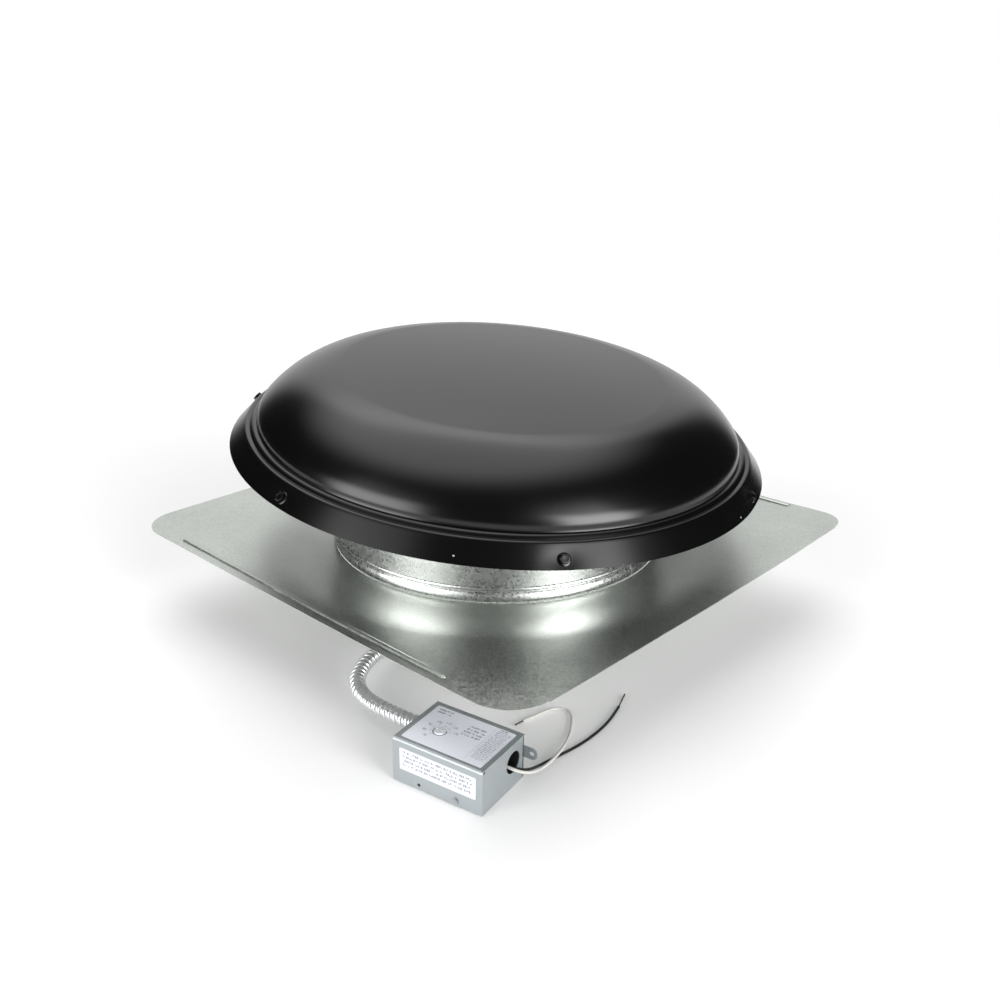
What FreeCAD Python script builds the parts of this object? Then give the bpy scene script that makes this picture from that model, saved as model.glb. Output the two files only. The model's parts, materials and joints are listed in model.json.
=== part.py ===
import FreeCAD, Part
import math
import os
import sys

import Sketcher
from FreeCAD import Placement, Rotation, Vector

# Roof-mount attic ventilator. Millimetres, +Z up through the dome, +X up the roof slope.
# The origin is the centre of the throat, on the underside plane of the flashing.

DIMENSIONS = [
    # flashing
    ("plate_side", 609.6), ("plate_thick", 0.8), ("corner_radius", 46), ("far_corner_radius", 32),
    ("corner_nib", 1.5),
    ("flare_radius", 288), ("flare_rise", -9), ("flare_inner", 194.3), ("flare_seat", 204),
    ("flare_arc", 198.25),
    ("rib_radius", 2.8), ("rib_edge", 12.5), ("rib_start", -218), ("rib_end", 208),
    ("far_rib_edge", 8.8), ("far_rib_end", 227),
    # throat
    ("throat_radius", 193.5), ("throat_wall", 0.8), ("throat_bottom", -20), ("throat_top", 72),
    ("wide_bead_top", 4.7), ("wide_bead_foot", -7.6), ("narrow_bead_top", 10.3),
    ("narrow_bead_foot", 5.5), ("bead_swell", 1),
    ("seam_angle", 2.5), ("seam_gap", 1), ("splice_width", 40),
    # dome
    ("rim_radius", 306), ("rim_height", 104.9), ("dome_tilt", 5.15), ("dome_wall", 0.8),
    ("skirt_top_radius", 290), ("skirt_height", 19), ("body_radius", 276), ("body_foot", 24.5),
    ("crown_radius", 187), ("crown_edge", 86), ("crown_top", 90),
    ("shoulder_arc", 128), ("heel_arc", 22), ("crown_flat", 12), ("crown_arc", 3830), ("screw_hole", 2.6),
    # dome brackets and bird screen
    ("bracket_width", 20), ("bracket_thick", 1.5), ("foot_low", 50), ("foot_high", 69),
    ("screen_radius", 190), ("screen_wall", 1), ("screen_bottom", 73), ("screen_band", 6), ("screen_bar", 3),
    # motor
    ("motor_radius", 42), ("motor_top", -9), ("motor_split", -54), ("motor_bottom", -99.5),
    ("shell_wall", 1.2), ("floor_level", -104), ("shaft_radius", 4), ("shaft_top", 52),
    ("bearing_radius", 7), ("bearing_bore", 4.05), ("bearing_length", 12),
    ("bolt_circle", 36.5), ("bolt_radius", 2), ("outlet_hole", 7.4),
    ("core_radius", 40.6), ("core_bore", 26.6), ("core_length", 33), ("rotor_radius", 26),
    ("winding_outer", 33.5), ("winding_inner", 28), ("winding_height", 11),
    ("arm_width", 20), ("arm_thick", 2), ("arm_reach", 192.3), ("arm_tab_top", 5),
    # fan
    ("fan_level", 33), ("hub_radius", 13), ("hub_length", 24),
    ("blade_thick", 1.2), ("blade_pitch", 27), ("blade_curve", 190), ("spider_thick", 2),
    # junction box, in its own frame: x along it, y across it, z up
    ("box_length", 99), ("box_width", 71), ("box_height", 47), ("box_wall", 1.2), ("box_turn", 10.25),
    ("box_x", 179.5), ("box_y", -330.4), ("box_gap", 0.5), ("lip_height", 9), ("corner_slit", 1.3),
    ("flange_width", 5), ("flange_foot", 1.6), ("cover_foot", 0.6),
    ("ear_reach", 8.5), ("ear_radius", 6), ("ear_level", 29), ("ear_hole", 2.6),
    ("knockout_radius", 11.1), ("knockout_across", 52), ("knockout_level", 27),
    ("dial_along", 31.5), ("dial_across", 30.7), ("dial_radius", 5.4), ("dial_clearance", 0.8),
    # conduit, its fittings and the leads
    ("conduit_radius", 8.5), ("conduit_bore", 6.3), ("fitting_radius", 10.2),
    ("lead_radius", 1.5), ("strand_radius", 0.9),
    ("outlet_level", -80), ("outlet_angle", -84.4), ("outlet_reach", 62),
]

doc = FreeCAD.newDocument("attic_ventilator")
sheet = doc.addObject("Spreadsheet::Sheet", "Sizes")
for row, (alias, size) in enumerate(DIMENSIONS, start=1):
    sheet.set(f"A{row}", str(size))
    sheet.setAlias(f"A{row}", alias)
doc.recompute()

SIZE = dict(DIMENSIONS)
Z_AXIS = Vector(0, 0, 1)
Y_AXIS = Vector(0, 1, 0)
OUTWARD = Rotation(Y_AXIS, 90)
pieces = []


def keep(piece, label):
    """Register a finished sub-part under the name of its node."""
    piece.Label = label
    pieces.append(piece)
    return piece


def turned(angle, x=0, y=0, z=0):
    """Placement at (x, y, z) turned about the vertical."""
    return Placement(Vector(x, y, z), Rotation(Z_AXIS, angle))


def raised(z):
    """Placement at a height on the local z axis."""
    return Placement(Vector(0, 0, z), Rotation())


def primitive(kind, name, bound, placement=None):
    """A Part primitive whose sizes are expressions of the sheet."""
    piece = doc.addObject(kind, name)
    for prop, expression in bound.items():
        piece.setExpression(prop, expression)
    piece.Placement = placement or Placement()
    return piece


def cylinder(name, radius, length, placement=None):
    return primitive("Part::Cylinder", name, {"Radius": radius, "Height": length}, placement)


def block(name, length, width, height, placement=None):
    return primitive("Part::Box", name, {"Length": length, "Width": width, "Height": height}, placement)


def prism(name, corner_radius, height, placement=None):
    """Six flats, as on a nut or a screw head."""
    return primitive("Part::Prism", name, {"Circumradius": corner_radius, "Height": height}, placement)


def joined(name, parts, kind="Part::MultiFuse"):
    piece = doc.addObject(kind, name)
    piece.Shapes = parts
    return piece


def grouped(name, parts):
    """Separate solids in one node."""
    piece = doc.addObject("Part::Compound", name)
    piece.Links = parts
    return piece


def cut(name, base, tool):
    piece = doc.addObject("Part::Cut", name)
    piece.Base = base
    piece.Tool = tool
    return piece


def number(expression):
    """What an expression of the sheet is worth now."""
    return float(sheet.evalExpression(expression))


def new_body(name):
    return doc.addObject("PartDesign::Body", name)


def sketch_on(body, role, name):
    """A sketch on one of the body's own origin planes."""
    plane = next(feature for feature in body.Origin.OriginFeatures if feature.Role == role)
    sketch = body.newObject("Sketcher::SketchObject", name)
    sketch.AttachmentSupport = [(plane, "")]
    sketch.MapMode = "FlatFace"
    return sketch


def draw_outline(sketch, corners):
    """Closed outline whose corners are bound to the sheet. A corner is (x, y) or (x, y, radius): with a
    radius, the edge that leaves it is an arc, turning left where the radius is positive."""
    points = [Vector(number(c[0]), number(c[1]), 0) for c in corners]
    first = sketch.GeometryCount
    ends = []
    for i, corner in enumerate(corners):
        start, finish = points[i], points[(i + 1) % len(points)]
        if len(corner) == 2:
            sketch.addGeometry(Part.LineSegment(start, finish), False)
            ends.append((1, 2))
            continue
        radius = number(corner[2])
        chord = finish - start
        side = Vector(-chord.y, chord.x, 0).normalize() * math.copysign(1, radius)
        centre = (start + finish) * 0.5 + side * math.sqrt(max(radius ** 2 - (chord.Length / 2) ** 2, 0))
        low, high = (start, finish) if radius > 0 else (finish, start)
        angles = [math.atan2(p.y - centre.y, p.x - centre.x) for p in (low, high)]
        if angles[1] < angles[0]:
            angles[1] += 2 * math.pi
        sketch.addGeometry(Part.ArcOfCircle(Part.Circle(centre, Z_AXIS, abs(radius)), *angles), False)
        ends.append((1, 2) if radius > 0 else (2, 1))
    rules, bound = [], []
    for i, corner in enumerate(corners):
        here, after = first + i, first + (i + 1) % len(corners)
        next_start = ends[(i + 1) % len(corners)][0]
        rules.append(Sketcher.Constraint("Coincident", here, ends[i][1], after, next_start))
        for kind, text, value in zip(("DistanceX", "DistanceY"), corner, points[i]):
            bound.append((len(rules), text))
            rules.append(Sketcher.Constraint(kind, -1, 1, here, ends[i][0], value))
        if len(corner) == 3:
            bound.append((len(rules), f"abs({corner[2]})"))
            rules.append(Sketcher.Constraint("Radius", here, abs(number(corner[2]))))
    offset = sketch.ConstraintCount
    sketch.addConstraint(rules)
    for index, text in bound:
        sketch.setExpression(f"Constraints[{offset + index}]", text)


def draw_circle(sketch, x, y, radius):
    """A hole bound to the sheet."""
    circle = Part.Circle(Vector(number(x), number(y), 0), Z_AXIS, number(radius))
    index = sketch.addGeometry(circle, False)
    centre = (-1, 1, index, 3)
    rules = (("Radius", radius, (index,)), ("DistanceX", x, centre), ("DistanceY", y, centre))
    for kind, text, where in rules:
        place = sketch.addConstraint(Sketcher.Constraint(kind, *where, number(text)))
        sketch.setExpression(f"Constraints[{place}]", text)


def sheet_metal(walk, thickness, spun_axis=False):
    """Closed outline of a bent sheet. The walk is its outer face, as for draw_outline, and the metal lies
    to the right of it. With spun_axis, an end at x = 0 is closed on the axis."""
    points = [Vector(number(c[0]), number(c[1]), 0) for c in walk]
    ways = []
    for i in range(len(walk) - 1):
        chord = points[i + 1] - points[i]
        lean = 0
        if len(walk[i]) == 3:
            lean = math.asin(max(-1, min(1, chord.Length / 2 / number(walk[i][2]))))
        heading = math.atan2(chord.y, chord.x)
        ways.append((heading - lean, heading + lean))
    inner = []
    for i, corner in enumerate(walk):
        before = ways[i - 1][1] if i else ways[0][0]
        after = ways[i][0] if i < len(ways) else before
        turn = math.remainder(after - before, 2 * math.pi)
        middle, spread = before + turn / 2, math.cos(turn / 2)
        shift_x, shift_y = math.sin(middle) / spread, -math.cos(middle) / spread
        across = f"{corner[0]} + {thickness} * {shift_x:.5f}"
        if spun_axis and number(corner[0]) == 0:
            across = "0"
        inner.append((across, f"{corner[1]} + {thickness} * {shift_y:.5f}"))
    back = []
    for i in range(len(walk) - 1, -1, -1):
        if i and len(walk[i - 1]) == 3:
            radius = walk[i - 1][2]
            grown = f"-(({radius}) + {thickness})"
            back.append((*inner[i], grown))
        else:
            back.append(inner[i])
    return [*walk, *back]


def spun(name, corners):
    """A body turned from an outline drawn in radius and height."""
    body = new_body(name)
    sketch = sketch_on(body, "XZ_Plane", name + "_profile")
    draw_outline(sketch, corners)
    turn = body.newObject("PartDesign::Revolution", name + "_turn")
    turn.Profile = sketch
    turn.ReferenceAxis = (sketch, ["V_Axis"])
    turn.Angle = 360
    body.Tip = turn
    return body


def extruded(name, role, corners, length, holes=(), symmetric=False):
    """A body padded from an outline with round holes."""
    body = new_body(name)
    sketch = sketch_on(body, role, name + "_outline")
    draw_outline(sketch, corners)
    for hole in holes:
        draw_circle(sketch, *hole)
    pad = body.newObject("PartDesign::Pad", name + "_pad")
    pad.Profile = sketch
    pad.setExpression("Length", length)
    if symmetric:
        pad.SideType = "Symmetric"
    body.Tip = pad
    return body


# ---------------------------------------------------------------- fasteners

def rivet(name, placement, grip):
    """A round-head rivet along its own z, its heads outside a grip of that length."""
    shank = cylinder(name + "_shank", "1.6", f"{grip} + 1.6", placement * raised(-0.8))
    low = cylinder(name + "_low", "3.2", "1.2", placement * raised(-1.2))
    high = cylinder(name + "_high", "3.2", "1.2", placement * raised(grip))
    return joined(name, [shank, low, high])


def hex_screw(name, placement, across, length, shank="2.4"):
    """A hex washer-head screw whose washer sits at its own z = 0."""
    washer = cylinder(name + "_washer", f"{across} * 0.72", "1.2", placement)
    head = prism(name + "_head", f"{across} * 0.56", "4.6", placement)
    stem = cylinder(name + "_stem", shank, length, placement * raised(-number(length)))
    return joined(name, [washer, head, stem])


# ---------------------------------------------------------------- dome

DOME_FRAME = Placement(Vector(0, 0, SIZE["rim_height"]), Rotation(Y_AXIS, SIZE["dome_tilt"]))
SCREW_ANGLES = [19, 83, 147, 211, 267, 325]
SKIRT_RUN = Vector(SIZE["rim_radius"] - SIZE["skirt_top_radius"], 0, -SIZE["skirt_height"])
SKIRT_LEAN = math.degrees(math.atan2(-SKIRT_RUN.z, SKIRT_RUN.x))
SCREW_UP_SKIRT = 0.42
TAB_GAP = 2.6
FOOT_GAP = 0.25


def skirt_frame(angle):
    """On the skirt's outer face at a screw: z points out of the metal, x down the skirt."""
    at = Vector(SIZE["rim_radius"], 0, 0) - SKIRT_RUN * SCREW_UP_SKIRT
    return DOME_FRAME * turned(angle) * Placement(at, Rotation(Y_AXIS, SKIRT_LEAN))


def make_dome():
    """Spun cap: a flat crown, a round shoulder, a stepped ledge and a flared skirt."""
    walk = [
        ("0", "Sizes.crown_top"),
        ("Sizes.crown_flat", "Sizes.crown_top", "-Sizes.crown_arc"),
        ("Sizes.crown_radius", "Sizes.crown_edge", "-Sizes.shoulder_arc"),
        ("Sizes.body_radius - 4.5", "Sizes.body_foot + 15", "-Sizes.heel_arc"),
        ("Sizes.body_radius", "Sizes.body_foot + 1.4"),
        ("Sizes.body_radius + 0.6", "Sizes.body_foot - 0.6"),
        ("Sizes.body_radius + 4.4", "Sizes.body_foot - 1", "-1.8"),
        ("Sizes.skirt_top_radius - 8", "Sizes.skirt_height + 3.2"),
        ("Sizes.skirt_top_radius - 6", "Sizes.skirt_height + 1.2"),
        ("Sizes.skirt_top_radius - 3", "Sizes.skirt_height + 1.6", "-3"),
        ("Sizes.skirt_top_radius", "Sizes.skirt_height"),
        ("Sizes.rim_radius", "0"),
    ]
    shell = spun("dome_shell", sheet_metal(walk, "Sizes.dome_wall", spun_axis=True))
    shell.Placement = DOME_FRAME
    holes = []
    for i, angle in enumerate(SCREW_ANGLES):
        holes.append(cylinder(f"dome_hole_{i}", "Sizes.screw_hole", "8", skirt_frame(angle) * raised(-4)))
    keep(cut("dome_cut", shell, joined("dome_holes", holes)), "dome")


def make_brackets():
    """Six bent straps from the throat's outside to the skirt's inside, each cut to the dome's tilt."""
    screws, rivets = [], []
    for i, angle in enumerate(SCREW_ANGLES, start=1):
        frame = skirt_frame(angle)
        screw_at = frame.Base
        azimuth = math.degrees(math.atan2(screw_at.y, screw_at.x))
        outward = Vector(math.cos(math.radians(azimuth)), math.sin(math.radians(azimuth)), 0)
        normal, down = frame.Rotation.multVec(Z_AXIS), frame.Rotation.multVec(Vector(1, 0, 0))
        middle = screw_at - normal * (SIZE["dome_wall"] + TAB_GAP)
        top, low = middle - down * 9, middle + down * 5.5
        foot = f"Sizes.throat_radius + {FOOT_GAP}"
        walk = [
            (foot, "Sizes.foot_low"),
            (foot, "Sizes.foot_high"),
            (f"{top.dot(outward):.3f}", f"{top.z:.3f}"),
            (f"{low.dot(outward):.3f}", f"{low.z:.3f}"),
        ]
        outline = sheet_metal(walk, "Sizes.bracket_thick")
        strap = extruded(f"bracket_{i}", "XZ_Plane", outline, "Sizes.bracket_width", symmetric=True)
        strap.Placement = turned(azimuth)
        keep(strap, f"dome_bracket_{i}")
        screws.append(hex_screw(f"dome_screw_{i}", frame * raised(0.1), 9.5, "10"))
        grip = SIZE["throat_wall"] + FOOT_GAP + SIZE["bracket_thick"]
        for level in (SIZE["foot_low"] + 5, SIZE["foot_high"] - 6):
            inner_face = Vector(SIZE["throat_radius"] - SIZE["throat_wall"], 0, level)
            at = turned(azimuth) * Placement(inner_face, OUTWARD)
            rivets.append(rivet(f"bracket_rivet_{len(rivets)}", at, grip))
    keep(grouped("dome_screw_group", screws), "dome_screws")
    keep(grouped("bracket_rivet_group", rivets), "bracket_rivets")


def make_screen():
    """Guard between throat and dome: upright bars between a level band and one that follows the dome."""
    reach = "150"
    inner = "Sizes.screen_radius - Sizes.screen_wall"
    bottom = SIZE["screen_bottom"]

    def band(name, height):
        outside = cylinder(name + "_outside", "Sizes.screen_radius", height, raised(bottom))
        return cut(name, outside, cylinder(name + "_inside", inner, height, raised(bottom)))

    side = 2 * SIZE["rim_radius"]
    top_level = SIZE["crown_edge"] - 6
    corner = Vector(-side / 2, -side / 2, top_level)
    above = block("screen_above", f"{side}", f"{side}", "200", DOME_FRAME * Placement(corner, Rotation()))
    slab_at = DOME_FRAME * Placement(corner - Z_AXIS * SIZE["screen_band"], Rotation())
    slab = block("screen_slab", f"{side}", f"{side}", "Sizes.screen_band", slab_at)
    top_band = joined("screen_top_band", [band("screen_tall", reach), slab], "Part::MultiCommon")
    bars = []
    for i in range(36):
        at = turned(10 * i) * Placement(Vector(number(inner), -SIZE["screen_bar"] / 2, bottom), Rotation())
        bars.append(block(f"screen_bar_{i}", "Sizes.screen_wall", "Sizes.screen_bar", reach, at))
    whole = joined("screen_whole", [band("screen_low_band", "Sizes.screen_band"), *bars])
    open_top = cut("screen_trimmed", whole, above)
    keep(joined("screen_guard", [open_top, top_band]), "bird_screen")


# ---------------------------------------------------------------- flashing and throat

def half_round(name, radius, y, end_x):
    """A raised bead along X with round ends, its flat side on z = 0."""
    lying = Rotation(Vector(1, 1, 1), 120)
    start, end = SIZE["rib_start"], number(end_x)
    run = cylinder(name + "_run", radius, f"{end_x} - Sizes.rib_start", Placement(Vector(start, y, 0), lying))
    run.Angle = 180
    ends = []
    for x in (start, end):
        at = Placement(Vector(x, y, 0), Rotation())
        cap = primitive("Part::Sphere", f"{name}_cap_{len(ends)}", {"Radius": radius}, at)
        cap.Angle1 = 0
        ends.append(cap)
    return joined(name, [run, *ends])


def make_flashing():
    """Square sheet with round corners, a rib along two edges and a sunken seat round the throat."""
    edge, corner = "Sizes.plate_side / 2", "Sizes.corner_radius"
    near = f"{edge} - {corner}"
    far_near = f"{edge} - Sizes.far_corner_radius"
    nib = f"{edge} - Sizes.corner_nib"
    outline = [
        (f"-({near})", f"-({edge})"), (near, f"-({edge})", corner),
        (nib, f"-({near})"), (edge, f"-({near})"), (edge, far_near),
        (nib, far_near, "Sizes.far_corner_radius"), (far_near, edge),
        (f"-({near})", edge, corner), (f"-({edge})", near), (f"-({edge})", f"-({near})", corner),
    ]
    plate = extruded("plate", "XY_Plane", outline, "Sizes.plate_thick", [("0", "0", "Sizes.flare_radius")])
    middle = "(Sizes.flare_seat + Sizes.flare_radius) / 2"
    seat_top = "Sizes.flare_rise + Sizes.plate_thick"
    walk = [
        ("Sizes.flare_inner", seat_top),
        ("Sizes.flare_seat", seat_top, "Sizes.flare_arc"),
        (middle, "Sizes.flare_rise / 2 + Sizes.plate_thick", "-Sizes.flare_arc"),
        ("Sizes.flare_radius", "Sizes.plate_thick"),
    ]
    flare = spun("flare", sheet_metal(walk, "Sizes.plate_thick"))
    half = SIZE["plate_side"] / 2
    lines = ((SIZE["rib_edge"] - half, "Sizes.rib_end"), (half - SIZE["far_rib_edge"], "Sizes.far_rib_end"))
    ribs = [half_round(f"rib_{i}", "Sizes.rib_radius", *line) for i, line in enumerate(lines)]
    hollows = [half_round(f"rib_hollow_{i}", "Sizes.rib_radius - Sizes.plate_thick", *line)
               for i, line in enumerate(lines)]
    whole = joined("flashing_whole", [plate, flare, *ribs])
    keep(cut("flashing_cut", whole, joined("rib_hollows", hollows)), "flashing")


def make_throat():
    """Rolled band with two beads, open at one seam, closed there by a riveted splice inside."""
    wall = "Sizes.throat_radius"
    walk = [
        (wall, "Sizes.throat_top"),
        (wall, "Sizes.narrow_bead_top", "-2.9"),
        (wall, "Sizes.narrow_bead_foot"),
        (wall, "Sizes.wide_bead_top"),
        (f"{wall} + Sizes.bead_swell", "Sizes.wide_bead_top - 1.3", "-8.5"),
        (f"{wall} + Sizes.bead_swell", "Sizes.wide_bead_foot + 1.2"),
        (wall, "Sizes.wide_bead_foot"),
        (wall, "Sizes.throat_bottom"),
    ]
    band = spun("throat_band", sheet_metal(walk, "Sizes.throat_wall"))
    seam = turned(SIZE["seam_angle"])
    gap_at = seam * Placement(Vector(SIZE["throat_radius"] - 3, -SIZE["seam_gap"] / 2, -20), Rotation())
    gap = block("seam_gap", "12", "Sizes.seam_gap", "120", gap_at)
    keep(cut("throat_cut", band, gap), "throat_ring")
    inner, splice_low = "Sizes.throat_radius - Sizes.throat_wall - 0.05", 22
    half = SIZE["splice_width"] / 2
    at = raised(splice_low)
    splice_height = SIZE["throat_top"] - 4 - splice_low
    tube = cut("splice_tube", cylinder("splice_out", inner, f"{splice_height}", at),
               cylinder("splice_in", f"{inner} - 1", f"{splice_height}", at))
    window_at = seam * Placement(Vector(SIZE["throat_radius"] - 20, -half, 0), Rotation())
    window = block("splice_window", "40", "Sizes.splice_width", "90", window_at)
    keep(joined("splice", [tube, window], "Part::MultiCommon"), "throat_splice")
    rivets = []
    for side in (-1, 1):
        for level in (28, 44, 60):
            swing = math.degrees(side * 13 / SIZE["throat_radius"])
            inner_face = Vector(SIZE["throat_radius"] - SIZE["throat_wall"] - 1.05, 0, level)
            place = turned(SIZE["seam_angle"] + swing) * Placement(inner_face, OUTWARD)
            rivets.append(rivet(f"splice_rivet_{len(rivets)}", place, 1.85))
    keep(grouped("splice_rivet_group", rivets), "splice_rivets")


# ---------------------------------------------------------------- motor

BOLT_ANGLES = [45, 135, 225, 315]


def on_bolts(make):
    """One piece at each of the four motor bolts."""
    return [make(i, turned(angle)) for i, angle in enumerate(BOLT_ANGLES)]


def bolt_drills(name, low, high):
    """Clearance holes for the motor bolts between two heights."""
    at = Vector(SIZE["bolt_circle"], 0, low)
    return joined(name, on_bolts(lambda i, turn: cylinder(
        f"{name}_{i}", "Sizes.bolt_radius + 0.2", f"{high - low}", turn * Placement(at, Rotation()))))


def outlet_frame(reach):
    """On the motor's wire outlet at this distance from the axis: z points outward."""
    return turned(SIZE["outlet_angle"]) * Placement(Vector(reach, 0, SIZE["outlet_level"]), OUTWARD)


def tube(name, outer, inner, length, placement):
    """A plain ring along its own z."""
    outside = cylinder(name + "_out", outer, length, placement)
    return cut(name, outside, cylinder(name + "_in", inner, length, placement))


def make_motor_case():
    boss = "Sizes.bearing_radius + Sizes.shell_wall"
    upper = [
        ("Sizes.shaft_radius + 1", "Sizes.motor_top + 3"), (boss, "Sizes.motor_top + 3"),
        (boss, "Sizes.motor_top"),
        ("Sizes.motor_radius - 3", "Sizes.motor_top", "-3"), ("Sizes.motor_radius", "Sizes.motor_top - 3"),
        ("Sizes.motor_radius", "Sizes.motor_split"),
    ]
    lower = [
        ("Sizes.motor_radius", "Sizes.motor_split"), ("Sizes.motor_radius", "Sizes.motor_bottom + 3", "-3"),
        ("Sizes.motor_radius - 3", "Sizes.motor_bottom"), (boss, "Sizes.motor_bottom"),
        (boss, "Sizes.motor_bottom - 3"), ("0", "Sizes.motor_bottom - 3"),
    ]
    top, bottom = SIZE["motor_top"], SIZE["motor_bottom"]
    upper_shell = spun("upper_shell", sheet_metal(upper, "Sizes.shell_wall"))
    upper_drills = bolt_drills("upper_drill", top - 4, top + 2)
    keep(cut("upper_shell_cut", upper_shell, upper_drills), "motor_upper_shell")
    lower_shell = spun("lower_shell", sheet_metal(lower, "Sizes.shell_wall", spun_axis=True))
    outlet = cylinder("outlet_drill", "Sizes.outlet_hole", "12", outlet_frame(SIZE["motor_radius"] - 6))
    drills = joined("lower_drills", [bolt_drills("lower_drill", bottom - 2, bottom + 4), outlet])
    keep(cut("lower_shell_cut", lower_shell, drills), "motor_lower_shell")


def make_motor_inside():
    """Bearings, shaft, rotor and stator of a small induction motor."""
    middle = (SIZE["motor_top"] + SIZE["motor_bottom"]) / 2
    low_end = middle - SIZE["core_length"] / 2
    high_end = middle + SIZE["core_length"] / 2
    level = {"upper_bearing": SIZE["motor_top"] + 3 - SIZE["shell_wall"] - SIZE["bearing_length"],
             "lower_bearing": SIZE["motor_bottom"] - 3 + SIZE["shell_wall"]}
    for name, z in level.items():
        keep(tube(name + "_bush", "Sizes.bearing_radius", "Sizes.bearing_bore", "Sizes.bearing_length",
                  raised(z)), name)
    shaft_low = level["lower_bearing"] + 0.5
    shaft_length = f"Sizes.shaft_top - ({shaft_low})"
    keep(cylinder("shaft", "Sizes.shaft_radius", shaft_length, raised(shaft_low)), "motor_shaft")
    core_at = raised(low_end)
    rotor = tube("rotor", "Sizes.rotor_radius", "Sizes.shaft_radius", "Sizes.core_length", core_at)
    keep(rotor, "rotor_core")
    rings = [tube(f"rotor_ring_{i}", "Sizes.rotor_radius - 1.5", "Sizes.rotor_radius - 9", "4", raised(z))
             for i, z in enumerate((low_end - 4, high_end))]
    keep(grouped("rotor_rings", rings), "rotor_end_rings")
    collars = [tube(f"collar_{i}", "Sizes.bearing_radius - 0.5", "Sizes.shaft_radius", "2", raised(z))
               for i, z in enumerate((level["lower_bearing"] + SIZE["bearing_length"] + 0.4,
                                      level["upper_bearing"] - 2.4))]
    keep(grouped("collars", collars), "thrust_collars")
    stack = tube("stator", "Sizes.core_radius", "Sizes.core_bore", "Sizes.core_length", core_at)
    keep(cut("stator_cut", stack, bolt_drills("stator_drill", low_end - 1, high_end + 1)), "stator_core")
    coils = [tube(f"coil_{i}", "Sizes.winding_outer", "Sizes.winding_inner", "Sizes.winding_height",
                  raised(z)) for i, z in enumerate((low_end - SIZE["winding_height"], high_end))]
    keep(grouped("coils", coils), "stator_windings")


def make_motor_mount():
    """Four arms across the throat that carry the motor, with its through bolts and nuts."""
    top, thick = "Sizes.motor_top + Sizes.arm_thick", "Sizes.arm_thick"
    bend = f"Sizes.arm_reach - {thick}"
    walk = [("16", top), (bend, top), (bend, "Sizes.arm_tab_top")]
    hole_at = Placement(Vector(SIZE["bolt_circle"], 0, SIZE["motor_top"] - 1), Rotation())
    grip = SIZE["throat_radius"] - SIZE["arm_reach"] + SIZE["arm_thick"]
    rivets = []
    for i, angle in enumerate(BOLT_ANGLES, start=1):
        arm = extruded(f"arm_{i}", "XZ_Plane", sheet_metal(walk, thick), "Sizes.arm_width", symmetric=True)
        drilled = cut(f"arm_cut_{i}", arm, cylinder(f"arm_hole_{i}", "Sizes.bolt_radius + 0.2", "5", hole_at))
        drilled.Placement = turned(angle)
        keep(drilled, f"motor_arm_{i}")
        for side in (-1, 1):
            inner_face = Vector(SIZE["arm_reach"] - SIZE["arm_thick"], side * 5.5, -3.2)
            at = turned(angle) * Placement(inner_face, OUTWARD)
            rivets.append(rivet(f"arm_rivet_{len(rivets)}", at, grip))
    keep(grouped("arm_rivet_group", rivets), "arm_rivets")
    head_level = SIZE["motor_top"] + SIZE["arm_thick"]

    def bolt(i, turn):
        at = turn * Placement(Vector(SIZE["bolt_circle"], 0, head_level), Rotation())
        head = prism(f"bolt_head_{i}", "4", "3.2", at)
        length = f"{head_level} - Sizes.floor_level"
        foot = turn * Placement(Vector(SIZE["bolt_circle"], 0, SIZE["floor_level"]), Rotation())
        return joined(f"bolt_{i}", [head, cylinder(f"bolt_shank_{i}", "Sizes.bolt_radius", length, foot)])

    def nut(i, turn):
        at = turn * Placement(Vector(SIZE["bolt_circle"], 0, SIZE["floor_level"] + 0.6), Rotation())
        height = "Sizes.motor_bottom - Sizes.floor_level - 0.6"
        flats = prism(f"nut_flats_{i}", "4.2", height, at)
        return cut(f"nut_{i}", flats, cylinder(f"nut_bore_{i}", "Sizes.bolt_radius", height, at))

    keep(grouped("bolts", on_bolts(bolt)), "motor_bolts")
    keep(grouped("nuts", on_bolts(nut)), "motor_nuts")


# ---------------------------------------------------------------- fan

BLADE_LIFT = 0.55


def make_fan():
    """Set-screw hub, a spider with four pitched arms and a curved blade riveted on each."""
    level = SIZE["fan_level"]
    hub_at = raised(level - SIZE["hub_length"] / 2)
    hub = tube("hub", "Sizes.hub_radius", "Sizes.shaft_radius", "Sizes.hub_length", hub_at)
    screw_at = Placement(Vector(SIZE["shaft_radius"], 0, level - 8), OUTWARD)
    screw_length = "Sizes.hub_radius - Sizes.shaft_radius - 0.5"
    screw_hole = cylinder("set_screw_hole", "2.5", "Sizes.hub_radius", screw_at)
    keep(cut("hub_drilled", hub, screw_hole), "fan_hub")
    keep(cylinder("set_screw_body", "2.5", screw_length, screw_at), "set_screw")
    pitch = Rotation(Vector(1, 0, 0), SIZE["blade_pitch"])
    disc = cylinder("spider_disc", "27", "Sizes.spider_thick", raised(level - 1))
    grip = SIZE["spider_thick"] + SIZE["blade_thick"] + BLADE_LIFT
    arms, rivets = [], []
    for i in range(4):
        spoke = turned(90 * i, z=level) * Placement(Vector(), pitch)
        corner = Placement(Vector(14, -13, -SIZE["spider_thick"] / 2), Rotation())
        arms.append(block(f"spoke_{i}", "70", "26", "Sizes.spider_thick", spoke * corner))
        for x, y in ((56, 0), (76, -6), (76, 6)):
            at = spoke * Placement(Vector(x, y, -SIZE["spider_thick"] / 2), Rotation())
            rivets.append(rivet(f"blade_rivet_{len(rivets)}", at, grip))
        keep(make_blade(i + 1, spoke), f"fan_blade_{i + 1}")
    whole = joined("spider_whole", [disc, *arms])
    bore = cylinder("spider_bore", "Sizes.hub_radius", "60", raised(level - 30))
    keep(cut("spider_cut", whole, bore), "fan_spider")
    keep(grouped("blade_rivet_group", rivets), "blade_rivets")


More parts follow.
